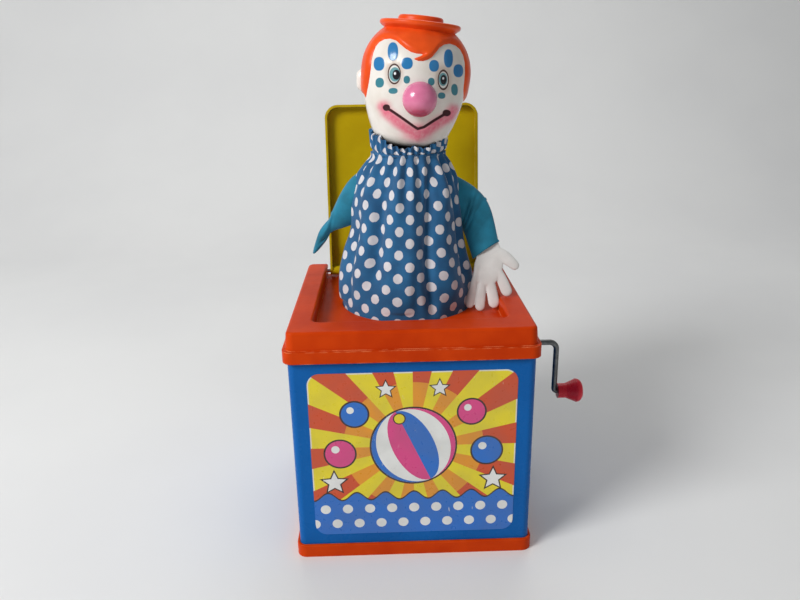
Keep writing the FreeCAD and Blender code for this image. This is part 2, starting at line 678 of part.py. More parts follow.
def make_crank_handle():
    body = new_body("crank_handle_body")
    crank_start = plate_inner_x - S.crank_stub
    section = new_sketch(body, "section", "YZ_Plane", crank_start)
    ring(section, 0, crank_z, S.crank_wire)
    path = new_sketch(body, "path", "XZ_Plane")
    knob_z = crank_z - S.crank_throw
    outline(path, [
        (crank_start, crank_z), (crank_arm_x - S.crank_bend, crank_z, S.crank_bend, False),
        (crank_arm_x, crank_z - S.crank_bend), (crank_arm_x, knob_z + S.knob_bend, S.knob_bend, True),
        (crank_arm_x + S.knob_bend, knob_z), (crank_end, knob_z),
    ], closed=False)
    wire = body.newObject("PartDesign::AdditivePipe", "crank_wire_sweep")
    wire.Profile = section
    wire.Spine = (path, [f"Edge{index}" for index in range(1, 6)])
    keep("crank_handle", body)


def make_crank_knob():
    body = new_body("crank_knob_body")
    profile = new_sketch(body, "profile", "XZ_Plane")
    bore = S.crank_wire + S.running_gap
    depth = crank_end - knob_start + S.clip_gap
    outline(profile, [
        (0, bore), (0, S.knob_shank), (S.knob_neck, S.knob_shank),
        (S.knob_length - S.knob_round, S.knob_end, S.knob_round, False),
        (S.knob_length, S.knob_end - S.knob_round), (S.knob_length, 0), (depth, 0), (depth, bore),
    ])
    revolve(body, profile, "H_Axis")
    place(body, knob_start, 0, crank_z - S.crank_throw)
    keep("crank_knob", body)


def gear_solid(teeth, bore, first_tooth):
    """Spur gear about Z with slack in the mesh: tip and root arcs joined by straight flanks."""
    module = S.gear_module.number
    pitch = module * teeth / 2
    tip, root = pitch + S.tooth_rise.number * module, pitch - S.tooth_drop.number * module
    foot, crown = (root, S.tooth_root.number), (tip, S.tooth_tip.number)
    edges = []
    for index in range(teeth):
        middle = first_tooth + 2 * math.pi * index / teeth
        step = math.pi / teeth
        spots = [Vector(radius * math.cos(middle + side * share * step),
                        radius * math.sin(middle + side * share * step), 0)
                 for side, (radius, share) in ((-1, foot), (-1, crown), (1, crown), (1, foot))]
        crest = Vector(tip * math.cos(middle), tip * math.sin(middle), 0)
        valley = Vector(root * math.cos(middle + step), root * math.sin(middle + step), 0)
        turn = middle + (2 - foot[1]) * step
        following = Vector(root * math.cos(turn), root * math.sin(turn), 0)
        sides = [Part.LineSegment(spots[0], spots[1]), Part.Arc(spots[1], crest, spots[2]),
                 Part.LineSegment(spots[2], spots[3]), Part.Arc(spots[3], valley, following)]
        edges += [side.toShape() for side in sides]
    disc = Part.Face(Part.Wire(edges)).extrude(Vector(0, 0, S.gear_thick.number))
    return disc.cut(Part.makeCylinder(bore, S.gear_thick.number))


def on_shaft(form, z):
    """Turns a form made about Z onto a shaft along X."""
    form.Placement = Placement(Vector(gear_x.number, 0, z.number), Rotation(Vector(1, 1, 1), 120))


def make_gears():
    teeth = int(S.pinion_teeth.number)
    pinion = free_form("pinion_form", gear_solid(teeth, S.crank_wire.number, math.radians(-90)))
    on_shaft(pinion, crank_z)
    keep("crank_pinion", pinion)
    teeth = int(S.wheel_teeth.number)
    wheel = gear_solid(teeth, S.axle_radius.number, math.radians(90) + math.pi / teeth)
    thick, face = S.cam_thick.number, S.gear_thick.number
    cam = Part.makeCylinder(S.cam_radius.number, thick, Vector(0, 0, face))
    lobe_wide = S.lobe_width.number
    lobe = Part.makeBox(S.cam_lobe.number, lobe_wide, thick, Vector(0, -lobe_wide / 2, face))
    cam = cam.fuse(lobe).cut(Part.makeCylinder(S.axle_radius.number, thick, Vector(0, 0, face)))
    drum_wheel = free_form("wheel_form", wheel.fuse(cam).removeSplitter())
    on_shaft(drum_wheel, drum_z)
    keep("drum_gear", drum_wheel)


def make_drum():
    start = plate_inner_x - S.clip_gap
    end = plate_outer_x + S.plate_thick - S.fit_gap
    keep("drum_axle", cylinder("axle_rod", S.axle_radius, end - start, start, 0, drum_z, "x"))
    body = new_body("tune_drum_body")
    barrel = new_sketch(body, "barrel", "YZ_Plane", drum_x)
    ring(barrel, 0, 0, S.drum_radius)
    ring(barrel, 0, 0, S.axle_radius)
    pad(body, barrel, S.drum_length)
    axis = [item for item in body.Origin.OriginFeatures if item.Role == "X_Axis"][0]
    for index in range(0, int(S.tine_count.number), 2):
        pin = new_sketch(body, f"pin_{index}", "XY_Plane", S.drum_radius / 2)
        ring(pin, drum_x + S.tine_width / 2 + S.tine_pitch * index, 0, S.drum_pin)
        first = pad(body, pin, S.drum_radius / 2 + S.drum_pin_rise)
        turned = body.newObject("PartDesign::PolarPattern", f"drum_pins_{index}")
        turned.Originals = [first]
        turned.Axis = (axis, [""])
        turned.Angle = 360
        turned.Occurrences = int(S.drum_row_pins.number) + index
        body.Tip = turned
    place(body, 0, 0, drum_z)
    keep("tune_drum", body)


def make_crank_clip():
    x = plate_inner_x - S.clip_gap - S.clip_thick
    disc = cylinder("clip_disc", S.clip_radius, S.clip_thick, x, 0, crank_z, "x")
    bore = cylinder("clip_bore", S.crank_wire, S.clip_thick, x, 0, crank_z, "x")
    mouth = brick("clip_slot", x, -S.clip_mouth / 2, crank_z, S.clip_thick, S.clip_mouth, S.clip_radius)
    keep("crank_clip", cut("crank_clip_form", disc, [bore, mouth]))


# Latch
nose_top = pin_z - S.tab_drop + S.nose_height
tab_face = pin_y - tab_front


def make_latch():
    body = new_body("latch_lever_body")
    rod = new_sketch(body, "rod", "YZ_Plane", -S.latch_left)
    ring(rod, latch_pin_y, latch_z, S.latch_radius)
    latch_right = plate_outer_x - S.arm_gap
    pad(body, rod, S.latch_left + latch_right)
    hook = new_sketch(body, "hook", "YZ_Plane", -S.hook_width / 2)
    front = latch_pin_y - S.hook_wall / 2
    back = latch_pin_y + S.hook_wall / 2
    under = nose_top + S.hook_gap
    outline(hook, [(front, latch_z), (back, latch_z), (back, under), (tab_face - S.hook_gap, under),
                   (tab_face - S.hook_gap, under + S.hook_thick), (front, under + S.hook_thick)])
    pad(body, hook, S.hook_width)
    arm = new_sketch(body, "arm", "YZ_Plane", latch_right - S.arm_thick)
    follower_z = drum_z + S.follower_rise
    follower_y = S.follower_lead - S.cam_lobe
    low, high = follower_z - S.arm_half, follower_z + S.arm_half
    outline(arm, [(front, latch_z), (front, low), (follower_y, low), (follower_y, high),
                  (back, high), (back, latch_z)])
    pad(body, arm, S.arm_thick)
    keep("latch_lever", body)
    leaf = brick("leaf_strip", -S.leaf_width / 2, front - S.hook_gap - S.leaf_thick,
                 rim_top - S.frame_wall - S.leaf_length, S.leaf_width, S.leaf_thick, S.leaf_length)
    keep("latch_leaf", leaf)


# Lid, drawn shut about its pin and then swung open
def make_lid():
    pin = cylinder("pin_rod", S.pin_radius, pan_wall_x * 2, -pan_wall_x, pin_y, pin_z, "x")
    keep("hinge_pin", pin)
    body = new_body("lid_body")
    half, reach, corner, wall = pan_half - S.lid_side_gap, lid_reach, S.lid_corner, S.flange_wall
    plate_outline = new_sketch(body, "plate", "XY_Plane", S.lid_under)
    outer = [(-half, 0), (-half, corner - reach, corner, True), (corner - half, -reach),
             (half - corner, -reach, corner, True), (half, corner - reach), (half, 0)]
    outline(plate_outline, outer)
    pad(body, plate_outline, S.lid_thick)
    soften(body, S.lid_edge, lies_at(S.lid_under + S.lid_thick))
    flange = new_sketch(body, "flange", "XY_Plane", -S.flange_drop)
    inner_bend = corner - wall
    outline(flange, [*outer, (half - wall, 0), (half - wall, corner - reach, inner_bend, False),
                     (half - corner, wall - reach), (corner - half, wall - reach, inner_bend, False),
                     (wall - half, corner - reach), (wall - half, 0)])
    pad(body, flange, S.flange_drop + S.lid_under)
    for name, start in (("right", half - S.knuckle_length), ("left", -half)):
        knuckle = new_sketch(body, f"{name}_knuckle", "YZ_Plane", start)
        ring(knuckle, 0, 0, S.knuckle_radius)
        pad(body, knuckle, S.knuckle_length)
        heel = new_sketch(body, f"{name}_heel", "YZ_Plane", start + (S.knuckle_length - S.heel_width) / 2)
        thick = S.heel_thick / 2
        outline(heel, [(0, -thick), (S.heel_reach, -thick), (S.heel_reach, thick), (0, thick)])
        pad(body, heel, S.heel_width)
    tab = new_sketch(body, "tab", "YZ_Plane", -S.tab_width / 2)
    ledge = S.nose_height - S.tab_drop
    outline(tab, [(-tab_front, S.lid_under), (-tab_front, ledge), (-(tab_front + S.nose_catch), ledge),
                  (-tab_front, -S.tab_drop), (S.tab_thick - tab_front, -S.tab_drop),
                  (S.tab_thick - tab_front, S.lid_under)])
    pad(body, tab, S.tab_width)
    bore = new_sketch(body, "bore", "YZ_Plane")
    ring(bore, 0, 0, S.pin_radius + S.running_gap)
    pocket(body, bore, lip_width, both=True)
    body.Placement = Placement(ORIGIN, Rotation(Vector(-1, 0, 0), S.lid_open.number))
    bind(body, "Placement.Rotation.Angle", S.lid_open)
    place(body, 0, pin_y, pin_z)
    keep("lid", body)


# Puppet's head, turned about its own axis and then tilted
def on_neck(target):
    tilt = Rotation(Vector(0, 1, 0), S.head_roll.number) * Rotation(Vector(0, 0, 1), S.head_turn.number)
    target.Placement = Placement(ORIGIN, tilt)
    place(target, S.neck_x, S.puppet_y, neck_z)


def bulge(low_radius, high_radius, rise):
    """Radius of the arc that leaves the wider end upright and passes through the narrower one."""
    step = high_radius - low_radius
    return (step * step + rise * rise) / (step * 2)


face_bend = bulge(S.jaw_radius, S.head_radius, S.cheek_height - S.jaw_height)
crown_bend = bulge(S.scalp_radius, S.head_radius, S.scalp_height - S.cheek_height)


def arc_reach(bend, thick, drop):
    """Distance from the head's axis of an arc widened by thick, at drop from the cheeks."""
    wide = bend + thick
    return S.head_radius - bend + (wide * wide - drop * drop).root()


def head_outside():
    return [(S.chin_radius, S.chin_height, S.chin_bend, True),
            (S.jaw_radius, S.jaw_height, face_bend, True),
            (S.head_radius, S.cheek_height, crown_bend, True),
            (S.scalp_radius, S.scalp_height), (0, S.scalp_height)]


def make_head():
    body = new_body("head_shell_body")
    profile = new_sketch(body, "profile", "XZ_Plane")
    wall = S.head_wall
    neck = S.spigot_radius + S.cloth_gap
    inner_rise = S.scalp_height - wall - S.cheek_height
    outline(profile, [
        *head_outside(), (0, S.scalp_height - wall),
        (S.scalp_radius - wall, S.scalp_height - wall,
         bulge(S.scalp_radius, S.head_radius, inner_rise), False),
        (S.head_radius - wall, S.cheek_height,
         bulge(neck, S.head_radius - wall, S.cheek_height - S.chin_height), False),
        (neck, S.chin_height),
    ])
    revolve(body, profile, "V_Axis")
    on_neck(body)
    keep("head_shell", body)


def make_hair():
    body = new_body("hair_cap_body")
    profile = new_sketch(body, "profile", "XZ_Plane")
    thick = S.hair_thick
    drop = S.cheek_height - S.hair_low
    rise = S.scalp_height - S.cheek_height
    outline(profile, [
        (arc_reach(face_bend, as_size(0), drop), S.hair_low),
        (arc_reach(face_bend, thick, drop), S.hair_low, face_bend + thick, True),
        (S.head_radius + thick, S.cheek_height, crown_bend + thick, True),
        (arc_reach(crown_bend, thick, rise), S.scalp_height),
        (S.scalp_radius, S.scalp_height, crown_bend, False),
        (S.head_radius, S.cheek_height, face_bend, False),
    ])
    revolve(body, profile, "V_Axis")
    face = new_sketch(body, "face", "XZ_Plane")
    tip = S.head_radius + thick / 4
    low = S.hair_low - thick
    face_side = S.scalp_height - S.face_side_drop
    lobe_height = S.scalp_height - S.lobe_drop
    lock_top = S.scalp_height - S.lock_drop
    lock_tip = S.scalp_height - S.lock_tip_drop
    outline(face, [
        (-tip, low), (tip, low), (S.face_half, face_side, S.lobe_outer_bend, True),
        (S.lobe_x, lobe_height, S.lobe_inner_bend, True), (S.lock_x, lock_top), (0, lock_tip),
        (-S.lock_x, lock_top, S.lobe_inner_bend, True), (-S.lobe_x, lobe_height, S.lobe_outer_bend, True),
        (-S.face_half, face_side),
    ])
    pocket(body, face, S.head_radius * 2, reverse=True)
    on_neck(body)
    keep("hair_cap", body)


def make_hat():
    body = new_body("hat_body")
    profile = new_sketch(body, "profile", "XZ_Plane")
    foot, top = S.scalp_height, S.scalp_height + S.crown_height
    brim_edge, brim_top = S.hat_foot + S.brim_out, S.scalp_height + S.brim_height
    outline(profile, [
        (0, foot), (S.hat_foot, foot), (brim_edge, brim_top - S.brim_round, S.brim_round, True),
        (brim_edge - S.brim_round, brim_top), (S.crown_radius, brim_top),
        (S.crown_radius, top - S.crown_round, S.crown_round, True),
        (S.crown_radius - S.crown_round, top), (0, top),
    ])
    revolve(body, profile, "V_Axis")
    on_neck(body)
    keep("hat", body)


def make_nose():
    core = new_body("head_core_body")
    profile = new_sketch(core, "profile", "XZ_Plane")
    outline(profile, [*head_outside(), (0, S.chin_height)])
    revolve(core, profile, "V_Axis")
    ball = doc.addObject("Part::Sphere", "nose_ball")
    bind(ball, "Radius", S.nose_radius)
    place(ball, 0, -S.nose_forward, S.nose_height_up)
    nose = cut("nose_form", ball, [core])
    on_neck(nose)
    keep("nose", nose)


def make_neck_plug():
    body = new_body("neck_plug_body")
    profile = new_sketch(body, "profile", "XZ_Plane")
    step = S.plug_thick - S.plug_low
    outline(profile, [
        (0, -S.plug_low), (S.plug_flange, -S.plug_low), (S.plug_flange, step), (S.plug_collar, step),
        (S.plug_collar, S.chin_height), (S.spigot_radius, S.chin_height),
        (S.spigot_radius, S.chin_height + S.spigot_length), (0, S.chin_height + S.spigot_length),
    ])
    revolve(body, profile, "V_Axis")
    on_neck(body)
    keep("neck_plug", body)


# Cloth: each ring of folds is crests and troughs drawn as arcs, uneven round the ring
def lean(height):
    """How far the puppet has leaned towards the crank side at a height above the rim."""
    share = (height - rim_top.number) / (gather_z - rim_top).number
    return S.neck_x.number * max(share, 0)


def fold_ring(height, radius, depth, folds):
    step = math.pi / folds
    middle = lean(height)
    edges = []
    for index in range(2 * folds):
        turn = step * index
        uneven = 1 + S.fold_unevenness.number * math.sin(S.fold_wander.number * index)
        crest = radius + depth * uneven * (1 if index % 2 else -1)
        spots = [Vector(middle + reach * math.cos(angle), reach * math.sin(angle), height)
                 for reach, angle in ((radius, turn), (crest, turn + step / 2), (radius, turn + step))]
        edges.append(Part.Arc(*spots).toShape())
    return Part.Wire(edges)


def folded_solid(rings, folds, inset=0):
    return Part.makeLoft([fold_ring(height, radius - inset, depth, folds) for height, radius, depth in rings],
                         True, False)


def cloth_tube(rings, folds):
    thick = S.cloth_thick.number
    return folded_solid(rings, folds).cut(folded_solid(rings, folds, thick))


# Ruffle's flare: share of its height, share of its spread
RUFFLE_FLARE = [(0.0, 0.0), (0.35, 0.5), (0.7, 0.85), (1.0, 1.0)]
gather_top = gather_z + S.band_height + S.cloth_gap * 4


def gown_rings():
    hem = hem_radius.number
    gather = S.neck_gather.number
    fold = S.fold_depth.number
    return [
        ((pan_under - S.hem_drop).number, hem, 0), (pan_under.number, hem, 0),
        (rim_top.number, hem - S.cloth_thick.number / 2, fold / 2),
        (skirt_z.number, S.skirt_radius.number, fold), (waist_z.number, S.waist_radius.number, fold),
        (chest_z.number, S.chest_radius.number, fold), (shoulder_z.number, S.shoulder_radius.number, fold),
        (gather_z.number, gather, 0), (gather_top.number, gather, 0),
    ]


def ruffle_rings():
    low = gather_top.number + S.cloth_gap.number
    high = S.ruffle_height.number
    inner, outer = S.neck_gather.number, S.ruffle_spread.number
    return [(low + share * high, inner + (outer - inner) * spread, S.ruffle_depth.number * share)
            for share, spread in RUFFLE_FLARE]


def lens_ring(centre, across, half_wide, half_deep, along):
    deep = along.cross(across).normalize() * half_deep
    wide = across.normalize() * half_wide
    arcs = [Part.Arc(centre - wide, centre + deep, centre + wide),
            Part.Arc(centre + wide, centre - deep, centre - wide)]
    return Part.Wire([arc.toShape() for arc in arcs])


def arm_spot(side, out, back, share):
    armhole_z = chest_z - S.armhole_drop
    cuff_z = rim_top + S.cuff_rise
    line_x = S.chest_radius + (pan_half - S.chest_radius) * share
    spot = ((line_x + out) * side, S.puppet_y + back, armhole_z + (cuff_z - armhole_z) * share)
    return Vector(*(value.number for value in spot))


def sleeve_solid(side, stations):
    """Flat sleeve lofted through lens-shaped rings."""
    spots = [arm_spot(side, *station[0]) for station in stations]
    rings = []
    for index, (_, across, half_wide, half_deep) in enumerate(stations):
        along = spots[min(index + 1, len(spots) - 1)] - spots[max(index - 1, 0)]
        rings.append(lens_ring(spots[index], Vector(*across), half_wide, half_deep, along))
    return Part.makeLoft(rings, True, False)


# Each place on an arm: how far out from the line between the chest and the pan's side, how far back from
# the puppet's axis, share of the way from the armhole to the cuff. A sleeve's stations add the direction
# across, half width and half depth.
LEFT_SLEEVE = [
    ((-6.4, 0, -0.02), (0, 0, 1), 16.5, 7.5), ((0, 0.3, 0.11), (0, 0, 1), 14.4, 6.5),
    ((2.8, 1.0, 0.27), (0, 0, 1), 10.9, 5.5), ((4.2, 2.0, 0.45), (0.1, 0, 1), 7.2, 4.2),
    ((4.6, 3.5, 0.65), (0.5, 0, 0.87), 8.2, 3.0), ((3.1, 6.5, 0.79), (0.53, 0, 0.85), 11.4, 2.6),
    ((2.6, 12.3, 0.83), (0.53, 0, 0.85), 11.2, 2.2),
]
RIGHT_SLEEVE = [
    ((-5.4, 0, 0), (0.1, 0, 1), 13.3, 7.0), ((1.6, -2.5, 0.22), (0.36, 0, 0.93), 12.5, 6.5),
    ((1.7, -6.0, 0.46), (0.62, 0, 0.78), 11.7, 5.5), ((-5.5, -13, 0.94), (0.83, 0, 0.56), 9.3, 3.2),
]
# Each arm: name, side, sleeve, place of the wrist, direction of the fingers, direction across the palm
ARMS = [
    ("left", -1, LEFT_SLEEVE, (2.6, 12.8, 0.835), (-0.09, 0.97, -0.23), (0.53, 0, 0.85)),
    ("right", 1, RIGHT_SLEEVE, (-4.8, -13.5, 0.925), (-0.03, -0.36, -0.93), (0.93, 0.02, 0.33)),
]
# Each finger: place across the palm, spread in degrees, share of the full length
FINGERS = [(-0.38, 7, 0.97), (-0.13, 3, 1.04), (0.12, -8, 0.97), (0.37, -22, 0.64)]


def capsule(start, spread, length, half_wide):
    thick = S.hand_thick.number
    bar = Part.makeBox(2 * half_wide, length, thick, Vector(-half_wide, 0, -thick / 2))
    tip = Part.makeCylinder(half_wide, thick, Vector(0, length, -thick / 2))
    finger = bar.fuse(tip)
    finger.Placement = Placement(Vector(*start, 0), Rotation(Vector(0, 0, 1), spread))
    return finger


def hand_solid():
    """Flat hand in its own plane: wrist at the origin, fingers along +Y, thumb on the +X side."""
    wide, long, thick = S.palm_width.number, S.palm_length.number, S.hand_thick.number
    wrist, knuckle = S.wrist_half.number, S.knuckle_rise.number
    corners = [(-wrist, 0), (wrist, 0), (wide / 2, knuckle), (wide / 2, long), (-wide / 2, long),
               (-wide / 2, knuckle)]
    points = [Vector(x, y, -thick / 2) for x, y in corners]
    solid = Part.Face(Part.makePolygon(points + points[:1])).extrude(Vector(0, 0, thick))
    half = S.finger_width.number / 2
    for place_across, spread, share in FINGERS:
        start = (place_across * wide, long - half)
        solid = solid.fuse(capsule(start, spread, S.finger_length.number * share, half))
    thumb_start = (S.thumb_across.number, S.thumb_rise.number)
    thumb = capsule(thumb_start, -S.thumb_spread.number, S.thumb_length.number, half)
    return solid.fuse(thumb).removeSplitter()


def aim(start, finger_way, across):
    """Placement that lays a hand's fingers along one direction and its width near another."""
    along = Vector(*finger_way).normalize()
    normal = Vector(*across).cross(along).normalize()
    return Placement(start, Rotation(along.cross(normal), along, normal, "YXZ"))


def make_clothes():
    folds = int(S.gown_folds.number)
    axis = Placement(Vector(0, S.puppet_y.number, 0), Rotation())
    gown = free_form("gown_form", cloth_tube(gown_rings(), folds))
    gown.Placement = axis
    keep("gown", gown)
    ruffle = free_form("ruffle_form", cloth_tube(ruffle_rings(), int(S.ruffle_folds.number)))
    ruffle.Placement = axis
    keep("neck_ruffle", ruffle)
    low = gather_z + S.cloth_gap * 2
    inner = S.neck_gather + S.cloth_gap
    outside = cylinder("band_outside", inner + S.band_wall, S.band_height, S.neck_x, S.puppet_y, low)
    inside = cylinder("band_inside", inner, S.band_height, S.neck_x, S.puppet_y, low)
    keep("neck_band", cut("neck_band_ring", outside, [inside]))
    torso = folded_solid(gown_rings(), folds)
    torso.Placement = axis
    for name, side, stations, wrist, way, across in ARMS:
        sleeve = sleeve_solid(side, stations).cut(torso)
        keep(f"{name}_sleeve", free_form(f"{name}_sleeve_form", sleeve))
        hand = hand_solid()
        hand.Placement = aim(arm_spot(side, *wrist), way, across)
        keep(f"{name}_hand", free_form(f"{name}_hand_form", hand.cut(sleeve)))


def build():
    for make in (make_base_tray, make_tin_body, make_front_label, make_top_frame, make_hem_ring,
                 make_spring_seat, make_seat_screws, make_main_spring, make_crank_bush, make_cage, make_comb,
                 make_crank_handle, make_crank_knob, make_gears, make_drum, make_crank_clip, make_latch,
                 make_lid, make_head, make_hair, make_hat, make_nose, make_neck_plug, make_clothes):
        make()
    doc.recompute()


def check():
    failed = [item.Name for item in doc.Objects if {"Invalid", "Error"} & set(item.State)]
    for label, node in nodes.items():
        shape = node.Shape
        if shape.isNull() or not shape.isValid() or not shape.Solids:
            failed.append(label)
    if failed:
        raise RuntimeError("failed: " + ", ".join(failed))


build()
check()
os.makedirs("parts", exist_ok=True)
for label, node in nodes.items():
    node.Shape.exportStep(f"parts/{label}.step")
    print(label, len(node.Shape.Solids), round(node.Shape.Volume, 1))
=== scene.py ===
import json
import math

import bpy
import numpy as np
from mathutils import Matrix, Vector
from mathutils.geometry import delaunay_2d_cdt


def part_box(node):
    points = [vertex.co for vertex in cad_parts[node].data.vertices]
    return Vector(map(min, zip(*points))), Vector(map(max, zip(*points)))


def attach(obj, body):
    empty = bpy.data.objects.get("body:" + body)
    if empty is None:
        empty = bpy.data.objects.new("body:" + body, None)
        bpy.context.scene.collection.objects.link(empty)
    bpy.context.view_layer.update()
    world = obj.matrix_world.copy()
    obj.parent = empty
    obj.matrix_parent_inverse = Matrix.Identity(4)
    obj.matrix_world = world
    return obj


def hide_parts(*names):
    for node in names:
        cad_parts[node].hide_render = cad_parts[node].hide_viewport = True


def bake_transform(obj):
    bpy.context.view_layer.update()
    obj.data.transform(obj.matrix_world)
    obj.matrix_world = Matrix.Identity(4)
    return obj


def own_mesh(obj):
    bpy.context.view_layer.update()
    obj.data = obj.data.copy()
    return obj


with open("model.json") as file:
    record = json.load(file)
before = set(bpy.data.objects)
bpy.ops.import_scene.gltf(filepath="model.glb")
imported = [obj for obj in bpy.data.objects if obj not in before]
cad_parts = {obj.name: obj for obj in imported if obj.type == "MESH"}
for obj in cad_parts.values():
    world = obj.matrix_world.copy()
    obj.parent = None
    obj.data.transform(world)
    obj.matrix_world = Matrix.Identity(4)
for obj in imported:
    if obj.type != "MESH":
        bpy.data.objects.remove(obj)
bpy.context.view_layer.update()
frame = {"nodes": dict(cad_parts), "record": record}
nodes = frame["nodes"]
scene = bpy.context.scene
mm = 0.001


# shared helpers for meshes

def makePiece(name, points, faces, finish, body=None, replaced=()):
    mesh = bpy.data.meshes.new(name)
    mesh.from_pydata([tuple(point) for point in np.asarray(points) * mm], [], faces)
    mesh.materials.append(finish)
    mesh.shade_smooth()
    piece = bpy.data.objects.new(name, mesh)
    scene.collection.objects.link(piece)
    if replaced:
        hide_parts(*replaced)
    if body:
        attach(piece, body)
    return piece


def gridFaces(rows, columns, first=0):
    # four-sided faces of a tube whose rows are closed rings
    faces = []
    for row in range(rows - 1):
        low, high = first + row * columns, first + (row + 1) * columns
        for column in range(columns):
            beside = (column + 1) % columns
            faces.append((low + column, low + beside, high + beside, high + column))
    return faces


def compactFaces(faces):
    # the points that the faces use, and the faces numbered by them
    used = sorted({v for corners in faces for v in corners})
    order = {v: index for index, v in enumerate(used)}
    return used, [tuple(order[v] for v in corners) for corners in faces]


def paintValues(piece, name, values):
    layer = piece.data.attributes.new(name, "FLOAT", "POINT")
    layer.data.foreach_set("value", np.asarray(values, np.float32))


def layCloth(piece, across, along):
    # cloth coordinates in millimetres, kept for each corner so that the seam stays whole
    layer = piece.data.uv_layers.new(name="cloth")
    columns = len(across)
    width = across.max() + (across[1] - across[0])
    for polygon in piece.data.polygons:
        spots = [divmod(v, columns) for v in polygon.vertices]
        wraps = {0, columns - 1} <= {column for _, column in spots}
        for corner, (row, column) in zip(polygon.loop_indices, spots):
            u = width if wraps and column == 0 else across[column]
            layer.data[corner].uv = (u, along[row])


def thicken(piece, thick):
    shell = piece.modifiers.new("thickness", "SOLIDIFY")
    shell.thickness = thick * mm
    shell.offset = -1


def ringTurns(count, first=0.0):
    return np.linspace(first, first + 2 * math.pi, count, endpoint=False)


def unit(vectors):
    return vectors / np.linalg.norm(vectors, axis=-1, keepdims=True)


def smoothStep(low, high, value):
    share = np.clip((np.asarray(value, float) - low) / (high - low), 0, 1)
    return share * share * (3 - 2 * share)


def throughPoints(stations, count):
    # smooth line through rows of numbers
    rows = np.asarray(stations, float)
    padded = np.vstack([2 * rows[0] - rows[1], rows, 2 * rows[-1] - rows[-2]])
    out = []
    for place in np.linspace(0, len(rows) - 1, count):
        step = min(int(place), len(rows) - 2)
        t = place - step
        a, b, c, d = padded[step:step + 4]
        out.append(0.5 * (2 * b + (c - a) * t + (2 * a - 5 * b + 4 * c - d) * t ** 2
                          + (3 * b - a - 3 * c + d) * t ** 3))
    return np.array(out)


# shared helpers for finishes

def feed(finish, socket, value):
    # a node's output is linked, a plain value is set
    if isinstance(value, bpy.types.NodeSocket):
        finish.node_tree.links.new(value, socket)
    else:
        socket.default_value = value


def addNode(finish, kind, inputs=None, **settings):
    node = finish.node_tree.nodes.new(kind)
    for key, value in settings.items():
        setattr(node, key, value)
    for socket, value in (inputs or {}).items():
        feed(finish, node.inputs[socket], value)
    return node


def setShader(finish, inputs):
    shader = finish.node_tree.nodes["Principled BSDF"]
    for socket, value in inputs.items():
        feed(finish, shader.inputs[socket], value)


def newFinish(name):
    finish = bpy.data.materials.new(name)
    finish.use_nodes = True
    return finish


def solid(colour):
    return (*colour, 1.0)


def mixColour(finish, share, low, high):
    return addNode(finish, "ShaderNodeMix", {0: share, 6: low, 7: high}, data_type="RGBA").outputs[2]


def ramp(finish, value, low, high, least=0.0, most=1.0):
    node = addNode(finish, "ShaderNodeMapRange", {0: value, 1: low, 2: high, 3: least, 4: most},
                   interpolation_type="SMOOTHSTEP")
    return node.outputs[0]


def sums(finish, kind, a, b):
    return addNode(finish, "ShaderNodeMath", {0: a, 1: b}, operation=kind).outputs[0]


def vectorSums(finish, kind, a, b=(0, 0, 0), output="Vector"):
    return addNode(finish, "ShaderNodeVectorMath", {0: a, 1: b}, operation=kind).outputs[output]


def attribute(finish, name):
    return addNode(finish, "ShaderNodeAttribute", attribute_name=name).outputs["Fac"]


def speckle(finish, size, detail=4.0, stretch=(1, 1, 1)):
    # noise whose grain is size millimetres, longer where stretch is below one
    place = addNode(finish, "ShaderNodeTexCoord").outputs["Object"]
    shaped = vectorSums(finish, "MULTIPLY", place, stretch)
    inputs = {"Vector": shaped, "Scale": 1 / (size * mm), "Detail": detail}
    return addNode(finish, "ShaderNodeTexNoise", inputs).outputs["Fac"]


def clouds(finish, size, least=0.0, most=1.0):
    return ramp(finish, speckle(finish, size), 0.3, 0.7, least, most)


def cloudyTint(finish, size, deep, tint):
    return mixColour(finish, clouds(finish, size), solid(deep), solid(tint))


def roundedNormal(finish, height, strength, depth=0.05, edge=0.0):
    inputs = {"Height": height, "Strength": strength, "Distance": depth * mm}
    if edge:
        bevel = addNode(finish, "ShaderNodeBevel", {"Radius": edge * mm}, samples=4)
        inputs["Normal"] = bevel.outputs["Normal"]
    return addNode(finish, "ShaderNodeBump", inputs).outputs["Normal"]


# moulded plastic, tin and metal

# bend, broken and patchShare shape the edge mask for wear and painted highlight; the rest shapes the
# scratches
wear = {"bend": (0.995, 0.86), "broken": (0.42, 0.62), "patchShare": 0.25,
        "scratched": (0.35, 0.75), "scratchDetail": 2.0, "brushed": (1, 0.12, 1)}
refraction = {"plastic": 1.48, "cloth": 1.45}
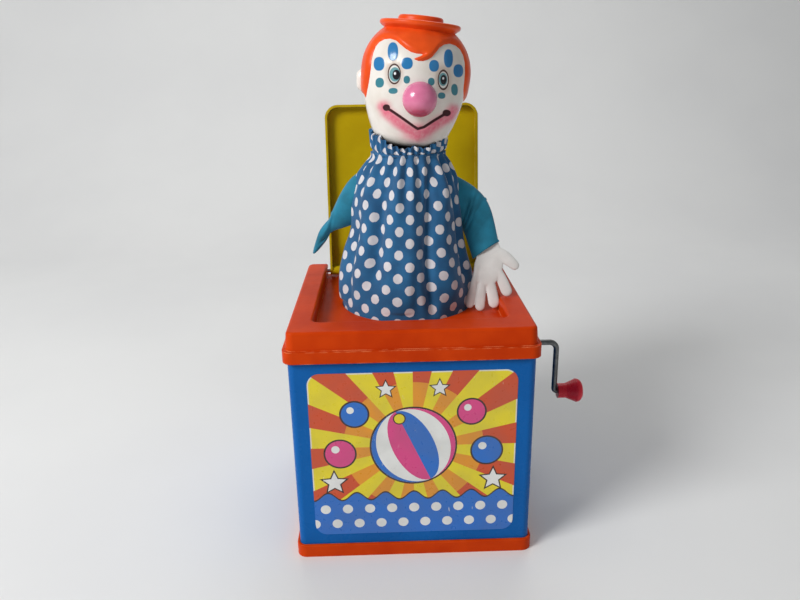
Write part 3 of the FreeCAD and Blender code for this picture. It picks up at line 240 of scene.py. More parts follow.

# the lighter edge tint on moulded pieces is partly wear, partly painted highlight along the rounded edges
mouldedLooks = {
    "orange_plastic": {"colour": (0.62, 0.052, 0.003), "deep": (0.52, 0.036, 0.002), "patch": 24,
                       "grain": 0.8, "bump": 0.05, "edge": 0.7, "scratch": 3.5, "rough": 0.30,
                       "roughSpread": 0.06, "gloss": 0.05, "brushed": (1, 1, 1),
                       "scuffAndHighlightTint": (0.95, 0.34, 0.14), "scuffAndHighlightReach": 0.9, "scuffAndHighlightShare": 0.7},
    "blue_tin": {"colour": (0.004, 0.115, 0.400), "deep": (0.003, 0.095, 0.340), "patch": 40,
                 "grain": 12, "bump": 0.06, "edge": 0.5, "scratch": 6, "rough": 0.26,
                 "roughSpread": 0.06, "gloss": 0.12, "brushed": (1, 1, 1),
                 "scuffAndHighlightTint": (0.20, 0.34, 0.58), "scuffAndHighlightReach": 0.7, "scuffAndHighlightShare": 0.5},
    "yellow_plastic": {"colour": (0.52, 0.375, 0.003), "deep": (0.45, 0.315, 0.002), "patch": 30,
                       "grain": 0.9, "bump": 0.08, "edge": 0.6, "scratch": 1.4, "rough": 0.30,
                       "roughSpread": 0.14, "gloss": 0.12,
                       "scuffAndHighlightTint": (0.80, 0.66, 0.16), "scuffAndHighlightReach": 0.7, "scuffAndHighlightShare": 0.5},
    "red_plastic": {"colour": (0.74, 0.016, 0.040), "deep": (0.60, 0.010, 0.028), "patch": 9,
                    "grain": 0.6, "bump": 0.10, "edge": 0.5, "scratch": 0.9, "rough": 0.26,
                    "roughSpread": 0.14, "gloss": 0.3,
                    "scuffAndHighlightTint": (0.80, 0.10, 0.14), "scuffAndHighlightReach": 0.5, "scuffAndHighlightShare": 0.5},
    "dark_wire": {"colour": (0.20, 0.21, 0.21), "deep": (0.13, 0.135, 0.135), "patch": 4,
                  "grain": 0.5, "bump": 0.10, "edge": 0.0, "scratch": 0.5, "rough": 0.40,
                  "roughSpread": 0.16, "metal": 1.0, "brushed": (0.1, 1, 0.1)},
    "bright_steel": {"colour": (0.66, 0.66, 0.68), "deep": (0.52, 0.52, 0.54), "patch": 6,
                     "grain": 0.4, "bump": 0.10, "edge": 0.2, "scratch": 0.5, "rough": 0.22,
                     "roughSpread": 0.2, "metal": 1.0},
    "spring_steel": {"colour": (0.50, 0.50, 0.52), "deep": (0.34, 0.34, 0.36), "patch": 5,
                     "grain": 0.4, "bump": 0.10, "edge": 0.0, "scratch": 0.4, "rough": 0.26,
                     "roughSpread": 0.2, "metal": 1.0},
    "black_plastic": {"colour": (0.030, 0.030, 0.032), "deep": (0.018, 0.018, 0.020), "patch": 8,
                      "grain": 0.6, "bump": 0.12, "edge": 0.3, "scratch": 0.8, "rough": 0.38,
                      "roughSpread": 0.16},
    "movement_plastic": {"colour": (0.72, 0.70, 0.64), "deep": (0.62, 0.60, 0.54), "patch": 8,
                         "grain": 0.6, "bump": 0.10, "edge": 0.3, "scratch": 0.8, "rough": 0.36,
                         "roughSpread": 0.16},
    "hair_plastic": {"colour": (0.86, 0.095, 0.012), "deep": (0.74, 0.068, 0.008), "patch": 12,
                     "grain": 0.9, "bump": 0.0, "edge": 0.3, "scratch": 6, "rough": 0.30,
                     "roughSpread": 0.05, "gloss": 0.22},
    "white_vinyl": {"colour": (0.76, 0.75, 0.72), "deep": (0.68, 0.67, 0.64), "patch": 9,
                    "grain": 0.5, "bump": 0.10, "edge": 0.0, "scratch": 0.9, "rough": 0.42,
                    "roughSpread": 0.14},
}


def edgeScuffAndHighlight(finish, reach, patch):
    # how far the rounded normal leaves the flat one, broken up by noise; it marks edge wear and painted
    # highlight
    bevel = addNode(finish, "ShaderNodeBevel", {"Radius": reach * mm}, samples=6)
    flat = addNode(finish, "ShaderNodeNewGeometry").outputs["Normal"]
    same = vectorSums(finish, "DOT_PRODUCT", bevel.outputs["Normal"], flat, "Value")
    edge = ramp(finish, same, *wear["bend"])
    return sums(finish, "MULTIPLY", edge, ramp(finish, speckle(finish, patch), *wear["broken"]))


def mouldedFinish(name, look):
    finish = newFinish(name)
    colour = cloudyTint(finish, look["patch"], look["deep"], look["colour"])
    if "scuffAndHighlightTint" in look:
        # edges lightened by wear and by painted highlight
        scuffAndHighlightMask = edgeScuffAndHighlight(finish, look["scuffAndHighlightReach"], look["patch"] * wear["patchShare"])
        share = sums(finish, "MULTIPLY", scuffAndHighlightMask, look["scuffAndHighlightShare"])
        colour = mixColour(finish, share, colour, solid(look["scuffAndHighlightTint"]))
    scratches = speckle(finish, look["scratch"], wear["scratchDetail"], look.get("brushed", wear["brushed"]))
    rough = ramp(finish, scratches, *wear["scratched"], look["rough"], look["rough"] + look["roughSpread"])
    normal = roundedNormal(finish, speckle(finish, look["grain"]), look["bump"], edge=look["edge"])
    setShader(finish, {"Base Color": colour, "Roughness": rough, "Normal": normal,
                       "IOR": refraction["plastic"], "Metallic": look.get("metal", 0.0),
                       "Specular IOR Level": look.get("gloss", 0.5)})
    return finish


finishes = {slot: mouldedFinish(slot, look) for slot, look in mouldedLooks.items()}

for part in frame["record"]["subparts"]:
    if part["material_slot"] in finishes:
        for place in nodes[part["node"]].material_slots:
            place.material = finishes[part["material_slot"]]
print("finishes on the construction's own pieces:", len(finishes))


# camera at the photograph's angle; the painted face and the hairline are also set out through it

view = {"place": (-13.6, -420.0, 280.5), "pitchDown": 18.8, "yawRight": 1.2, "roll": -1.0,
        "focalPixels": 700.0, "wide": 800, "high": 600, "sensor": 36.0, "clip": 0.01}

aim = (Matrix.Rotation(math.radians(-view["yawRight"]), 4, "Z")
       @ Matrix.Rotation(math.radians(90 - view["pitchDown"]), 4, "X")
       @ Matrix.Rotation(math.radians(view["roll"]), 4, "Z"))
cameraData = bpy.data.cameras.new("camera")
cameraData.sensor_width = view["sensor"]
cameraData.lens = view["focalPixels"] * view["sensor"] / view["wide"]
cameraData.clip_start = view["clip"]
camera = bpy.data.objects.new("camera", cameraData)
camera.matrix_world = Matrix.Translation(Vector(view["place"]) * mm) @ aim
scene.collection.objects.link(camera)
scene.camera = camera
toCamera = np.array(aim.to_3x3().inverted())


def photoPixel(points):
    local = (np.asarray(points) - np.array(view["place"])) @ toCamera.T
    across = view["wide"] / 2 + view["focalPixels"] * local[:, 0] / -local[:, 2]
    down = view["high"] / 2 - view["focalPixels"] * local[:, 1] / -local[:, 2]
    return np.column_stack([across, down])


# head: a turned form with a painted face

head = {"pivot": (1.8, 6.5, 230.2), "roll": 6.4, "turn": 4.5,      # on the neck, millimetres and degrees
        # radius and height at each level, then the arc under the jaw
        "chin": (11.6, 3.2), "jaw": (22.4, 10.0), "cheek": (30.2, 44.4), "scalp": (18.4, 66.5),
        "chinBend": 12.0, "chinMiddle": (11.585, 15.2),
        "neckRadius": 9.2, "neckDeep": 3.0, "crownShare": 0.02,
        "columns": 272, "rows": 116, "ease": 1.3, "slopeStep": 0.05,
        # turn from the front in degrees and height, then half sizes in the same units
        "ears": [(-98, 37.5), (103, 37.0)], "ear": {"half": (5.5, 6.5), "rise": 4.0, "edge": (1.25, 0.55)}}

# ovals are middle and half sizes in pixels of the enlarged photo
face = {"zoomCorner": (345, 5), "zoom": 10.11, "pixelSize": 0.0603,      # millimetres per enlarged pixel
        "blueSpots": [(485, 470, 53, 93), (628, 590, 58, 60), (345, 595, 55, 70), (1045, 540, 46, 93),
                      (900, 615, 50, 60), (1145, 665, 50, 66)],
        "tealSpots": [(352, 785, 43, 50), (625, 755, 33, 40), (488, 868, 46, 30), (1105, 855, 34, 58),
                      (872, 775, 34, 40), (975, 915, 37, 32)],
        "eyes": [{"ring": (498, 697, 68, 107), "iris": (503, 702, 56, 74), "pupil": (518, 705, 40, 52),
                  "glint": (504, 692, 12, 15)},
                 {"ring": (995, 757, 58, 106), "iris": (993, 752, 43, 68), "pupil": (998, 755, 31, 50),
                  "glint": (995, 742, 10, 13)}],
        "spotSquare": 2.3, "ringWide": 12, "hazeWide": 46, "hazeShare": 0.5, "softEdge": 3.0, "far": 400.0,
        "mouthLine": [(425, 1035), (560, 1130), (690, 1222), (735, 1250), (800, 1232), (900, 1165),
                      (1030, 1085)],
        "mouthWide": 13, "mouthDots": [(425, 1035, 34, 34), (1022, 1088, 38, 34)],
        "blushLine": [(398, 1028), (422, 1082), (520, 1170), (640, 1260), (735, 1315), (830, 1268),
                      (930, 1195), (1050, 1125), (1085, 1060)],
        "blushWide": 86, "blushFall": 2.4, "lip": (728, 1285, 150, 92), "lipShare": 0.75,
        # low relief: heights of swellings, and of steps with where their edge starts and ends
        "swells": {"lips": 0.5, "cheeks": 0.9, "chin": 0.7}, "swellFall": 1.5,
        "cheeks": [(345, 965, 150, 130), (1105, 1010, 150, 130)], "chin": [(740, 1370, 150, 80)],
        "steps": {"mouth": (-0.5, 7.8, -13), "sockets": (-0.35, 30, -60), "eyes": (0.25, -5, -75),
                  "spots": (0.14, 10, -14)},
        "facing": (0.06, 0.3),
        "skin": (0.83, 0.79, 0.73), "skinDeep": (0.75, 0.69, 0.62), "blushTint": (0.76, 0.15, 0.23),
        "blueTint": (0.022, 0.185, 0.430), "tealTint": (0.045, 0.215, 0.270),
        "hazeTint": (0.52, 0.36, 0.28), "ringTint": (0.08, 0.032, 0.025), "eyeTint": (0.80, 0.78, 0.74),
        "irisTint": (0.14, 0.33, 0.36), "pupilTint": (0.008, 0.008, 0.012),
        "glintTint": (0.92, 0.93, 0.95), "mouthTint": (0.040, 0.002, 0.006),
        "patch": 14, "sprayAndShadeGrain": 2.2, "sprayAndShadeRamp": (0.1, 0.7, 0.72, 1.0), "shinePatch": 6, "shine": (0.15, 0.27),
        "mouthRough": 0.75, "grain": 1.1, "bump": 0.05}


def arcBend(narrow, wide, rise):
    return ((wide - narrow) ** 2 + rise ** 2) / (2 * (wide - narrow))


def headRadius(height):
    jaw, jawRise = head["jaw"]
    cheek, cheekRise = head["cheek"]
    scalp, scalpRise = head["scalp"]
    height = np.asarray(height, float)
    bend = np.where(height < cheekRise, arcBend(jaw, cheek, cheekRise - jawRise),
                    arcBend(scalp, cheek, scalpRise - cheekRise))
    upper = cheek - bend + np.sqrt(bend ** 2 - (height - cheekRise) ** 2)
    out, up = head["chinMiddle"]
    under = out + np.sqrt(np.maximum(head["chinBend"] ** 2 - (height - up) ** 2, 0))
    return np.where(height < jawRise, under, upper)


headPlace = (Matrix.Translation(head["pivot"]) @ Matrix.Rotation(math.radians(head["roll"]), 4, "Y")
             @ Matrix.Rotation(math.radians(head["turn"]), 4, "Z"))


def onNeck(points):
    place = np.array(headPlace)
    return np.asarray(points) @ place[:3, :3].T + place[:3, 3]


def headGrid(rows, columns, low, high, ease=1.0):
    # rows of height and columns of turn, zero in front and growing towards the crank
    heights = low + (high - low) * np.linspace(0, 1, rows) ** ease
    turn, height = (grid.ravel() for grid in np.meshgrid(ringTurns(columns, -math.pi), heights))
    radius, step = headRadius(height), head["slopeStep"]
    slope = (headRadius(height + step) - headRadius(height - step)) / (2 * step)
    points = np.column_stack([radius * np.sin(turn), -radius * np.cos(turn), height])
    normals = unit(np.column_stack([np.sin(turn), -np.cos(turn), -slope]))
    return turn, height, points, normals


def onFace(points, normals):
    # each point's place in the enlarged photo, and how far it faces the camera
    placed = onNeck(points)
    pixels = (photoPixel(placed) - np.array(face["zoomCorner"])) * face["zoom"]
    sight = unit(np.array(view["place"]) - placed)
    facing = np.sum((normals @ np.array(headPlace.to_3x3()).T) * sight, axis=1)
    return pixels, facing


def toOval(pixels, oval, square=2.0):
    x, y, halfWide, halfHigh = oval
    reach = (np.abs((pixels[:, 0] - x) / halfWide) ** square
             + np.abs((pixels[:, 1] - y) / halfHigh) ** square) ** (1 / square)
    return (reach - 1) * min(halfWide, halfHigh)


def toLine(pixels, corners):
    best = np.full(len(pixels), np.inf)
    for start, end in zip(np.array(corners[:-1], float), np.array(corners[1:], float)):
        run = end - start
        share = np.clip(((pixels - start) @ run) / (run @ run), 0, 1)
        best = np.minimum(best, np.linalg.norm(pixels - start - share[:, None] * run, axis=1))
    return best


def insideOf(pixels, corners):
    inside = np.zeros(len(pixels), bool)
    x, y = pixels[:, 0], pixels[:, 1]
    for (ax, ay), (bx, by) in zip(corners, corners[1:] + corners[:1]):
        crosses = (ay > y) != (by > y)
        inside ^= crosses & (x < (bx - ax) * (y - ay) / (by - ay + 1e-9) + ax)
    return inside


def faceFinish():
    finish = newFinish("face_paint")
    soft = face["softEdge"]
    colour = cloudyTint(finish, face["patch"], face["skinDeep"], face["skin"])
    sprayAndShadeRamp = ramp(finish, speckle(finish, face["sprayAndShadeGrain"]), *face["sprayAndShadeRamp"])
    sprayAndShadeRamp = sums(finish, "MULTIPLY", attribute(finish, "blush"), sprayAndShadeRamp)
    colour = mixColour(finish, sprayAndShadeRamp, colour, solid(face["blushTint"]))
    colour = mixColour(finish, attribute(finish, "haze"), colour, solid(face["hazeTint"]))
    for name, tint in (("blueSpots", "blueTint"), ("tealSpots", "tealTint"), ("ring", "ringTint"),
                       ("eye", "eyeTint"), ("iris", "irisTint"), ("pupil", "pupilTint"),
                       ("glint", "glintTint"), ("mouth", "mouthTint")):
        share = ramp(finish, attribute(finish, name), soft, -soft)
        colour = mixColour(finish, share, colour, solid(face[tint]))
    dull = ramp(finish, attribute(finish, "mouth"), soft, -soft, 0.0, face["mouthRough"])
    rough = sums(finish, "MAXIMUM", clouds(finish, face["shinePatch"], *face["shine"]), dull)
    normal = roundedNormal(finish, speckle(finish, face["grain"]), face["bump"])
    setShader(finish, {"Base Color": colour, "Roughness": rough, "Normal": normal,
                       "IOR": refraction["plastic"]})
    return finish


def paintFace(pixels, seen):
    # areas as distance to their edge, below zero inside; blush and haze as shares
    def nearest(ovals, square=2.0):
        return np.where(seen, np.min([toOval(pixels, oval, square) for oval in ovals], axis=0), face["far"])

    layers = {name: nearest(face[name], face["spotSquare"]) for name in ("blueSpots", "tealSpots")}
    for name in ("ring", "iris", "pupil", "glint"):
        layers[name] = nearest([eye[name] for eye in face["eyes"]])
    ring = layers["ring"]
    layers["eye"] = ring + face["ringWide"]
    mouth = np.minimum(toLine(pixels, face["mouthLine"]) - face["mouthWide"], nearest(face["mouthDots"]))
    layers["mouth"] = np.where(seen, mouth, face["far"])
    band = toLine(pixels, face["blushLine"]) / face["blushWide"]
    lip = face["lipShare"] * (1 + toOval(pixels, face["lip"]) / face["lip"][3])
    reach = np.maximum(np.minimum(band, lip), 0)
    layers["blush"] = np.where(seen, np.exp(-(reach ** 3) * face["blushFall"]), 0.0)
    layers["haze"] = face["hazeShare"] * smoothStep(face["hazeWide"], 0, ring) * (ring > 0)
    return layers


def faceRelief(pixels, layers):
    # lips, cheeks and chin swell, the mouth and the eye sockets sink, spots stand a little proud
    rise = face["swells"]["lips"] * layers["blush"]
    for name in ("cheeks", "chin"):
        reach = np.min([toOval(pixels, oval) / oval[3] for oval in face[name]], axis=0) + 1
        rise = rise + face["swells"][name] * np.exp(-(reach ** 2) * face["swellFall"])
    edges = {"mouth": layers["mouth"], "sockets": layers["ring"], "eyes": layers["ring"],
             "spots": np.minimum(layers["blueSpots"], layers["tealSpots"])}
    for name, (height, start, end) in face["steps"].items():
        rise = rise + height * smoothStep(start, end, edges[name])
    return rise


def makeHead():
    rows, columns = head["rows"], head["columns"]
    turn, height, points, normals = headGrid(rows, columns, head["chin"][1], head["scalp"][1], head["ease"])
    pixels, facing = onFace(points, normals)
    seen = facing > face["facing"][0]
    layers = paintFace(pixels, seen)
    lift = np.where(seen, faceRelief(pixels, layers) * smoothStep(*face["facing"], facing), 0)
    ear = head["ear"]
    for degrees, level in head["ears"]:
        away = np.hypot((np.degrees(turn) - degrees) / ear["half"][0], (height - level) / ear["half"][1])
        lift = lift + ear["rise"] * smoothStep(*ear["edge"], away)
    points = points + normals * lift[:, None]
    # close the neck and the scalp
    narrow = head["neckRadius"] / head["chin"][0]
    neck = points[:columns] * (narrow, narrow, 1.0)
    inside = neck + (0, 0, head["neckDeep"])
    crown = points[-columns:] * (head["crownShare"], head["crownShare"], 1.0)
    everything = np.vstack([inside, neck, points, crown])
    piece = makePiece("clown_head", onNeck(everything), gridFaces(rows + 3, columns), faceFinish(),
                      "puppet", ["head_shell"])
    for name, values in layers.items():
        empty = 0.0 if name in ("blush", "haze") else face["far"]
        paintValues(piece, name, np.pad(values, (2 * columns, columns), constant_values=empty))


makeHead()
print("head made and painted")

# hair: a moulded cap over the head, its front edge laid out on the photo's hairline

hair = {"thick": 1.6, "sunk": 0.7, "columns": 340, "rows": 150, "low": 24.0, "edgeRound": (-0.9, 2.0),
        "cutAt": -0.85, "nape": 30.5, "napeWave": 0.7, "napeWaves": 9, "sideTurn": (1.30, 1.62),
        "strands": 16, "strandRise": 0.10, "strandSlant": 0.12, "strandsFrom": (1.0, 5.0),
        "hairline": [(215, 945), (225, 860), (240, 760), (255, 650), (265, 560), (280, 490), (305, 420),
                     (345, 370), (400, 340), (460, 335), (520, 355), (570, 400), (620, 440), (670, 470),
                     (720, 485), (775, 490), (800, 500), (770, 520), (730, 535), (705, 545), (740, 560),
                     (790, 562), (840, 545), (880, 520), (920, 470), (950, 430), (1000, 395), (1060, 385),
                     (1120, 405), (1170, 450), (1200, 510), (1215, 580), (1218, 680), (1210, 780),
                     (1200, 860), (1198, 945)],
        "belowHair": [(2400, 960), (2400, 2600), (-1200, 2600), (-1200, 960)]}


def makeHair():
    rows, columns = hair["rows"], hair["columns"]
    turn, height, points, normals = headGrid(rows, columns, hair["low"], head["scalp"][1])
    pixels, _ = onFace(points, normals)
    reach = toLine(pixels, hair["hairline"]) * face["pixelSize"]
    front = np.where(insideOf(pixels, hair["hairline"] + hair["belowHair"]), -reach, reach)
    back = height - hair["nape"] - hair["napeWave"] * np.cos(turn * hair["napeWaves"])
    share = smoothStep(*hair["sideTurn"], np.abs(turn))
    depth = front * (1 - share) + back * share
    strands = hair["strandRise"] * np.sin(turn * hair["strands"] + hair["strandSlant"] * height)
    strands = strands * smoothStep(*hair["strandsFrom"], depth)
    edge = np.sqrt(smoothStep(*hair["edgeRound"], depth))
    rise = -hair["sunk"] + (hair["thick"] + hair["sunk"]) * edge + strands
    outside = points + normals * rise[:, None]
    keep = depth > hair["cutAt"]
    used, faces = compactFaces([f for f in gridFaces(rows, columns) if all(keep[v] for v in f)])
    makePiece("hair_cap_moulding", onNeck(outside[used]), faces, finishes["hair_plastic"],
              "puppet", ["hair_cap"])


makeHair()

# hat: low crown on a rolled brim, stations of radius and height

hat = {"foot": 66.5, "columns": 128, "perStation": 3, "tipRadius": 0.05,
       "profile": [(17.4, -0.4), (19.3, -0.3), (19.9, 0.1), (20.4, 0.8), (21.3, 1.5), (22.3, 2.2),
                   (22.9, 2.9), (23.1, 3.6), (23.0, 4.3), (22.5, 4.9), (21.7, 5.1), (20.4, 5.0),
                   (18.0, 4.7), (15.0, 4.6), (13.7, 4.8), (13.1, 5.3), (12.95, 6.2), (12.8, 7.2),
                   (12.3, 8.0), (11.6, 8.3), (10.4, 8.4), (7.5, 8.35), (4.0, 8.3), (0.3, 8.3)]}


def makeHat():
    line = throughPoints(hat["profile"], len(hat["profile"]) * hat["perStation"])
    turns = ringTurns(hat["columns"])
    points = []
    for radius, height in line:
        radius = max(radius, hat["tipRadius"])
        level = np.full(len(turns), height + hat["foot"])
        points.append(np.column_stack([radius * np.cos(turns), radius * np.sin(turns), level]))
    makePiece("small_hat", onNeck(np.vstack(points)), gridFaces(len(line), hat["columns"]),
              finishes["hair_plastic"], "puppet", ["hat"])


makeHat()

# nose: a ball pressed on the face, with painted shade darker underneath

nose = {"centre": (0.0, -28.3, 31.0), "radius": 9.6, "columns": 64, "rows": 40, "wrap": (0.6, 118.0),
        "under": (-0.15, -0.95), "tint": (0.76, 0.205, 0.365), "tintDeep": (0.70, 0.175, 0.325),
        "underShadeTint": (0.46, 0.045, 0.075), "patch": 5, "sprayAndShadeGrain": 2.0, "sprayAndShadeRamp": (0.1, 0.7, 0.8, 1.0),
        "shinePatch": 4, "shine": (0.14, 0.24), "grain": 1.0, "bump": 0.05, "coat": 0.35, "coatRough": 0.12}


def noseFinish():
    finish = newFinish("nose_paint")
    # the darker underside is painted shade: a share growing towards the bottom, broken up by noise
    sprayAndShadeRamp = ramp(finish, speckle(finish, nose["sprayAndShadeGrain"]), *nose["sprayAndShadeRamp"])
    sprayAndShadeRamp = sums(finish, "MULTIPLY", attribute(finish, "under"), sprayAndShadeRamp)
    tint = cloudyTint(finish, nose["patch"], nose["tintDeep"], nose["tint"])
    colour = mixColour(finish, sprayAndShadeRamp, tint, solid(nose["underShadeTint"]))
    rough = clouds(finish, nose["shinePatch"], *nose["shine"])
    normal = roundedNormal(finish, speckle(finish, nose["grain"]), nose["bump"])
    setShader(finish, {"Base Color": colour, "Roughness": rough, "Normal": normal,
                       "Coat Weight": nose["coat"], "Coat Roughness": nose["coatRough"],
                       "IOR": refraction["plastic"]})
    return finish


def makeNose():
    turns = ringTurns(nose["columns"])
    rows = []
    for wrap in np.radians(np.linspace(*nose["wrap"], nose["rows"]))[::-1]:
        radius = nose["radius"] * math.sin(wrap)
        out = np.full(len(turns), -nose["radius"] * math.cos(wrap))
        rows.append(np.column_stack([radius * np.cos(turns), out, radius * np.sin(turns)]))
    ball = np.vstack(rows)
    faces = [f[::-1] for f in gridFaces(nose["rows"], nose["columns"])]
    piece = makePiece("round_nose", onNeck(ball + np.array(nose["centre"])), faces, noseFinish(),
                      "puppet", ["nose"])
    # share of painted shade, growing towards the bottom of the ball
    paintValues(piece, "under", smoothStep(*nose["under"], ball[:, 2] / nose["radius"]))


makeNose()
print("hair, hat and nose made")

# dotted cloth of the gown and its ruffle

cloth = {"cellWide": 14.33, "cellHigh": 13.6, "dot": 2.85, "dotEdge": 0.14,
         "unevenPatch": 1.6, "uneven": (0.2, 0.8, -0.16, 0.16),
         "tint": (0.010, 0.118, 0.275), "tintDeep": (0.007, 0.080, 0.200), "patch": 11,
         "dotTint": (0.70, 0.68, 0.70), "dotTintDeep": (0.60, 0.59, 0.62),
         "dotPatch": 5, "dotFade": (0.3, 0.8),
         "thread": 0.34, "bump": 0.22, "rough": 0.78, "sheen": 0.25, "sheenRough": 0.45}
weaveLook = {"waviness": 0.4, "depth": 0.08}


def clothPlace(finish):
    return addNode(finish, "ShaderNodeUVMap", uv_map="cloth").outputs["UV"]


def setWoven(finish, colour, look):
    # two crossed sets of threads under the colour
    height = None
    for direction in ("X", "Y"):
        inputs = {"Vector": clothPlace(finish), "Scale": math.pi / 10 / look["thread"],
                  "Distortion": weaveLook["waviness"]}
        wave = addNode(finish, "ShaderNodeTexWave", inputs, wave_type="BANDS", bands_direction=direction)
        threads = wave.outputs["Fac"]
        height = threads if height is None else sums(finish, "ADD", height, threads)
    normal = roundedNormal(finish, height, look["bump"], weaveLook["depth"])
    setShader(finish, {"Base Color": colour, "Roughness": look["rough"], "Normal": normal,
                       "Sheen Weight": look["sheen"], "Sheen Roughness": look["sheenRough"],
                       "IOR": refraction["cloth"]})


def dottedFinish():
    finish = newFinish("dotted_cloth")
    cell = (cloth["cellWide"], cloth["cellHigh"], 1.0)
    scaled = vectorSums(finish, "DIVIDE", clothPlace(finish), cell)
    nearest = None
    for shift in ((0.0, 0.0, 0.0), (0.5, 0.5, 0.0)):
        share = vectorSums(finish, "FRACTION", vectorSums(finish, "ADD", scaled, shift))
        middle = vectorSums(finish, "SUBTRACT", share, (0.5, 0.5, 0.0))
        size = vectorSums(finish, "MULTIPLY", middle, (*cell[:2], 0.0))
        reach = vectorSums(finish, "LENGTH", size, output="Value")
        nearest = reach if nearest is None else sums(finish, "MINIMUM", nearest, reach)
    uneven = ramp(finish, speckle(finish, cloth["unevenPatch"]), *cloth["uneven"])
    dots = ramp(finish, sums(finish, "ADD", nearest, uneven), cloth["dot"] + cloth["dotEdge"],
                cloth["dot"] - cloth["dotEdge"])
    ground = cloudyTint(finish, cloth["patch"], cloth["tintDeep"], cloth["tint"])
    fade = ramp(finish, speckle(finish, cloth["dotPatch"]), *cloth["dotFade"])
    faded = mixColour(finish, fade, solid(cloth["dotTintDeep"]), solid(cloth["dotTint"]))
    setWoven(finish, mixColour(finish, dots, ground, faded), cloth)
    return finish


finishes["dotted_cloth"] = dottedFinish()

# gown: a tapered tube of cloth, its hem in the box's hole and its neck gathered under the ruffle

gown = {"axis": (0.0, 6.5), "columns": 320, "rows": 118, "thick": 0.6, "cells": 18,
        # rings of level and radius
        "rings": [(127.6, 41.0), (135.5, 41.0), (143.5, 41.0), (152.0, 40.4), (160.0, 39.2), (168.7, 37.2),
                  (177.0, 35.3), (185.0, 34.1), (192.0, 33.3), (200.0, 32.2), (208.0, 30.6), (215.0, 28.3),
                  (221.0, 25.5), (225.0, 23.2), (227.5, 21.9), (229.9, 21.9)], "ringSteps": 400,
        "lean": 1.8, "leanFrom": 143.5,
        "gathers": 19, "gatherDepth": 1.5, "gatherFrom": (192, 224), "tied": (224, 228), "tiedShare": 0.55,
        "bodyFolds": 11, "bodyDepth": 0.9, "bodyWander": 0.9, "bodyFrom": (136, 160), "bodyTo": (228, 205),
        # each fold: turn from the front in degrees, depth, half width in degrees, lowest and highest level
        "folds": [(-8, 2.2, 8, 137, 216), (20, -3.6, 4.5, 136, 224), (-31, -3.6, 7, 152, 228),
                  (-47, 1.6, 8, 150, 214), (-85, 2.8, 20, 188, 223), (38, 1.5, 8, 140, 220),
                  (60, -2.4, 6, 150, 222), (-80, 2.4, 15, 132, 182), (92, -3.0, 16, 160, 212),
                  (86, 1.8, 12, 133, 160), (120, -2.2, 8, 140, 220), (150, 1.8, 10, 138, 214),
                  (-118, -2.0, 8, 142, 222), (-150, 1.6, 11, 138, 216), (178, -1.6, 9, 140, 220),
                  (8, -0.8, 4, 137, 172), (-62, -2.2, 6, 140, 200)],
        "foldSway": 0.05, "swayLength": 17, "foldEnds": (4, 12),
        "held": (134.5, 139), "holeTop": 140, "holeRadius": 41.1,
        "blendFrom": 135.5, "blendTo": 227.5, "flat": (0.258, 0.112)}


def aroundAxis(turn, radius, level):
    # the puppet leans towards the crank side above the rim
    x, y = gown["axis"]
    share = np.maximum((level - gown["leanFrom"]) / (gown["blendTo"] - gown["leanFrom"]), 0)
    middle = x + gown["lean"] * share
    return np.column_stack([middle + radius * np.sin(turn), y - radius * np.cos(turn), level])


def gathering(turn, count, wander=0.55):
    return np.sin(count * turn + wander * np.sin(3 * turn + 0.7) + wander * np.sin(5 * turn))


def makeGown():
    rows, columns = gown["rows"], gown["columns"]
    levels = np.linspace(gown["rings"][0][0], gown["rings"][-1][0], rows)
    line = throughPoints(gown["rings"], gown["ringSteps"])
    base = np.interp(levels, line[:, 0], line[:, 1])
    turn, level = (grid.ravel() for grid in np.meshgrid(ringTurns(columns, -math.pi), levels))
    smooth = np.repeat(base, columns)
    body = smoothStep(*gown["bodyFrom"], level) * smoothStep(*gown["bodyTo"], level)
    radius = smooth + gown["bodyDepth"] * body * gathering(turn, gown["bodyFolds"], gown["bodyWander"])
    tied = gown["tiedShare"] * smoothStep(*gown["tied"], level)
    neck = smoothStep(*gown["gatherFrom"], level) * (1 - tied)
    radius = radius + gown["gatherDepth"] * neck * gathering(turn, gown["gathers"])
    past, within = gown["foldEnds"]
    for degrees, depth, wide, low, high in gown["folds"]:
        lean = math.radians(degrees) + gown["foldSway"] * np.sin(level / gown["swayLength"] + degrees)
        away = (turn - lean + math.pi) % (2 * math.pi) - math.pi
        tall = (smoothStep(low - past, low + within, level)
                * smoothStep(high + past, high - within, level))
        radius = radius + depth * tall * np.exp(-(away / math.radians(wide)) ** 2)
    held = smoothStep(*gown["held"], level)
    limit = np.where(level < gown["holeTop"], gown["holeRadius"], np.inf)
    radius = np.minimum(smooth * (1 - held) + radius * held, limit)
    piece = makePiece("dotted_gown", aroundAxis(turn, radius, level), gridFaces(rows, columns),
                      finishes["dotted_cloth"], None, ["gown"])
    slant = np.concatenate([[0], np.cumsum(np.hypot(np.diff(levels), np.diff(base)))])
    layCloth(piece, np.linspace(0, gown["cells"] * cloth["cellWide"], columns, endpoint=False), slant)
    thicken(piece, gown["thick"])
    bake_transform(piece)


makeGown()

# ruffle: the cloth's free edge above the gathering thread

ruffle = {"columns": 384, "rows": 26, "thick": 0.5, "start": 22.0, "low": 228.6,
          "cells": 18, "clothFrom": 104.0,
          "frontTop": 233.4, "leftTop": 242.8, "rightTop": 238.0, "backTop": 241.0,
          "edgeWaves": [(7, 0.7, 1), (12, 0.5, 0)],      # count around, height and shift
          "flare": (0.0, 0.7), "flareBend": 0.8, "gathers": 37, "ripple": 1.0, "rippleLow": 0.35,
          "pinchAt": 0.16, "pinchHalf": 0.10, "pinchDepth": 0.9, "pinchCalm": 0.7,
          "lipWave": 0.5, "lipShift": 0.08, "flat": (0.258, 0.0102)}


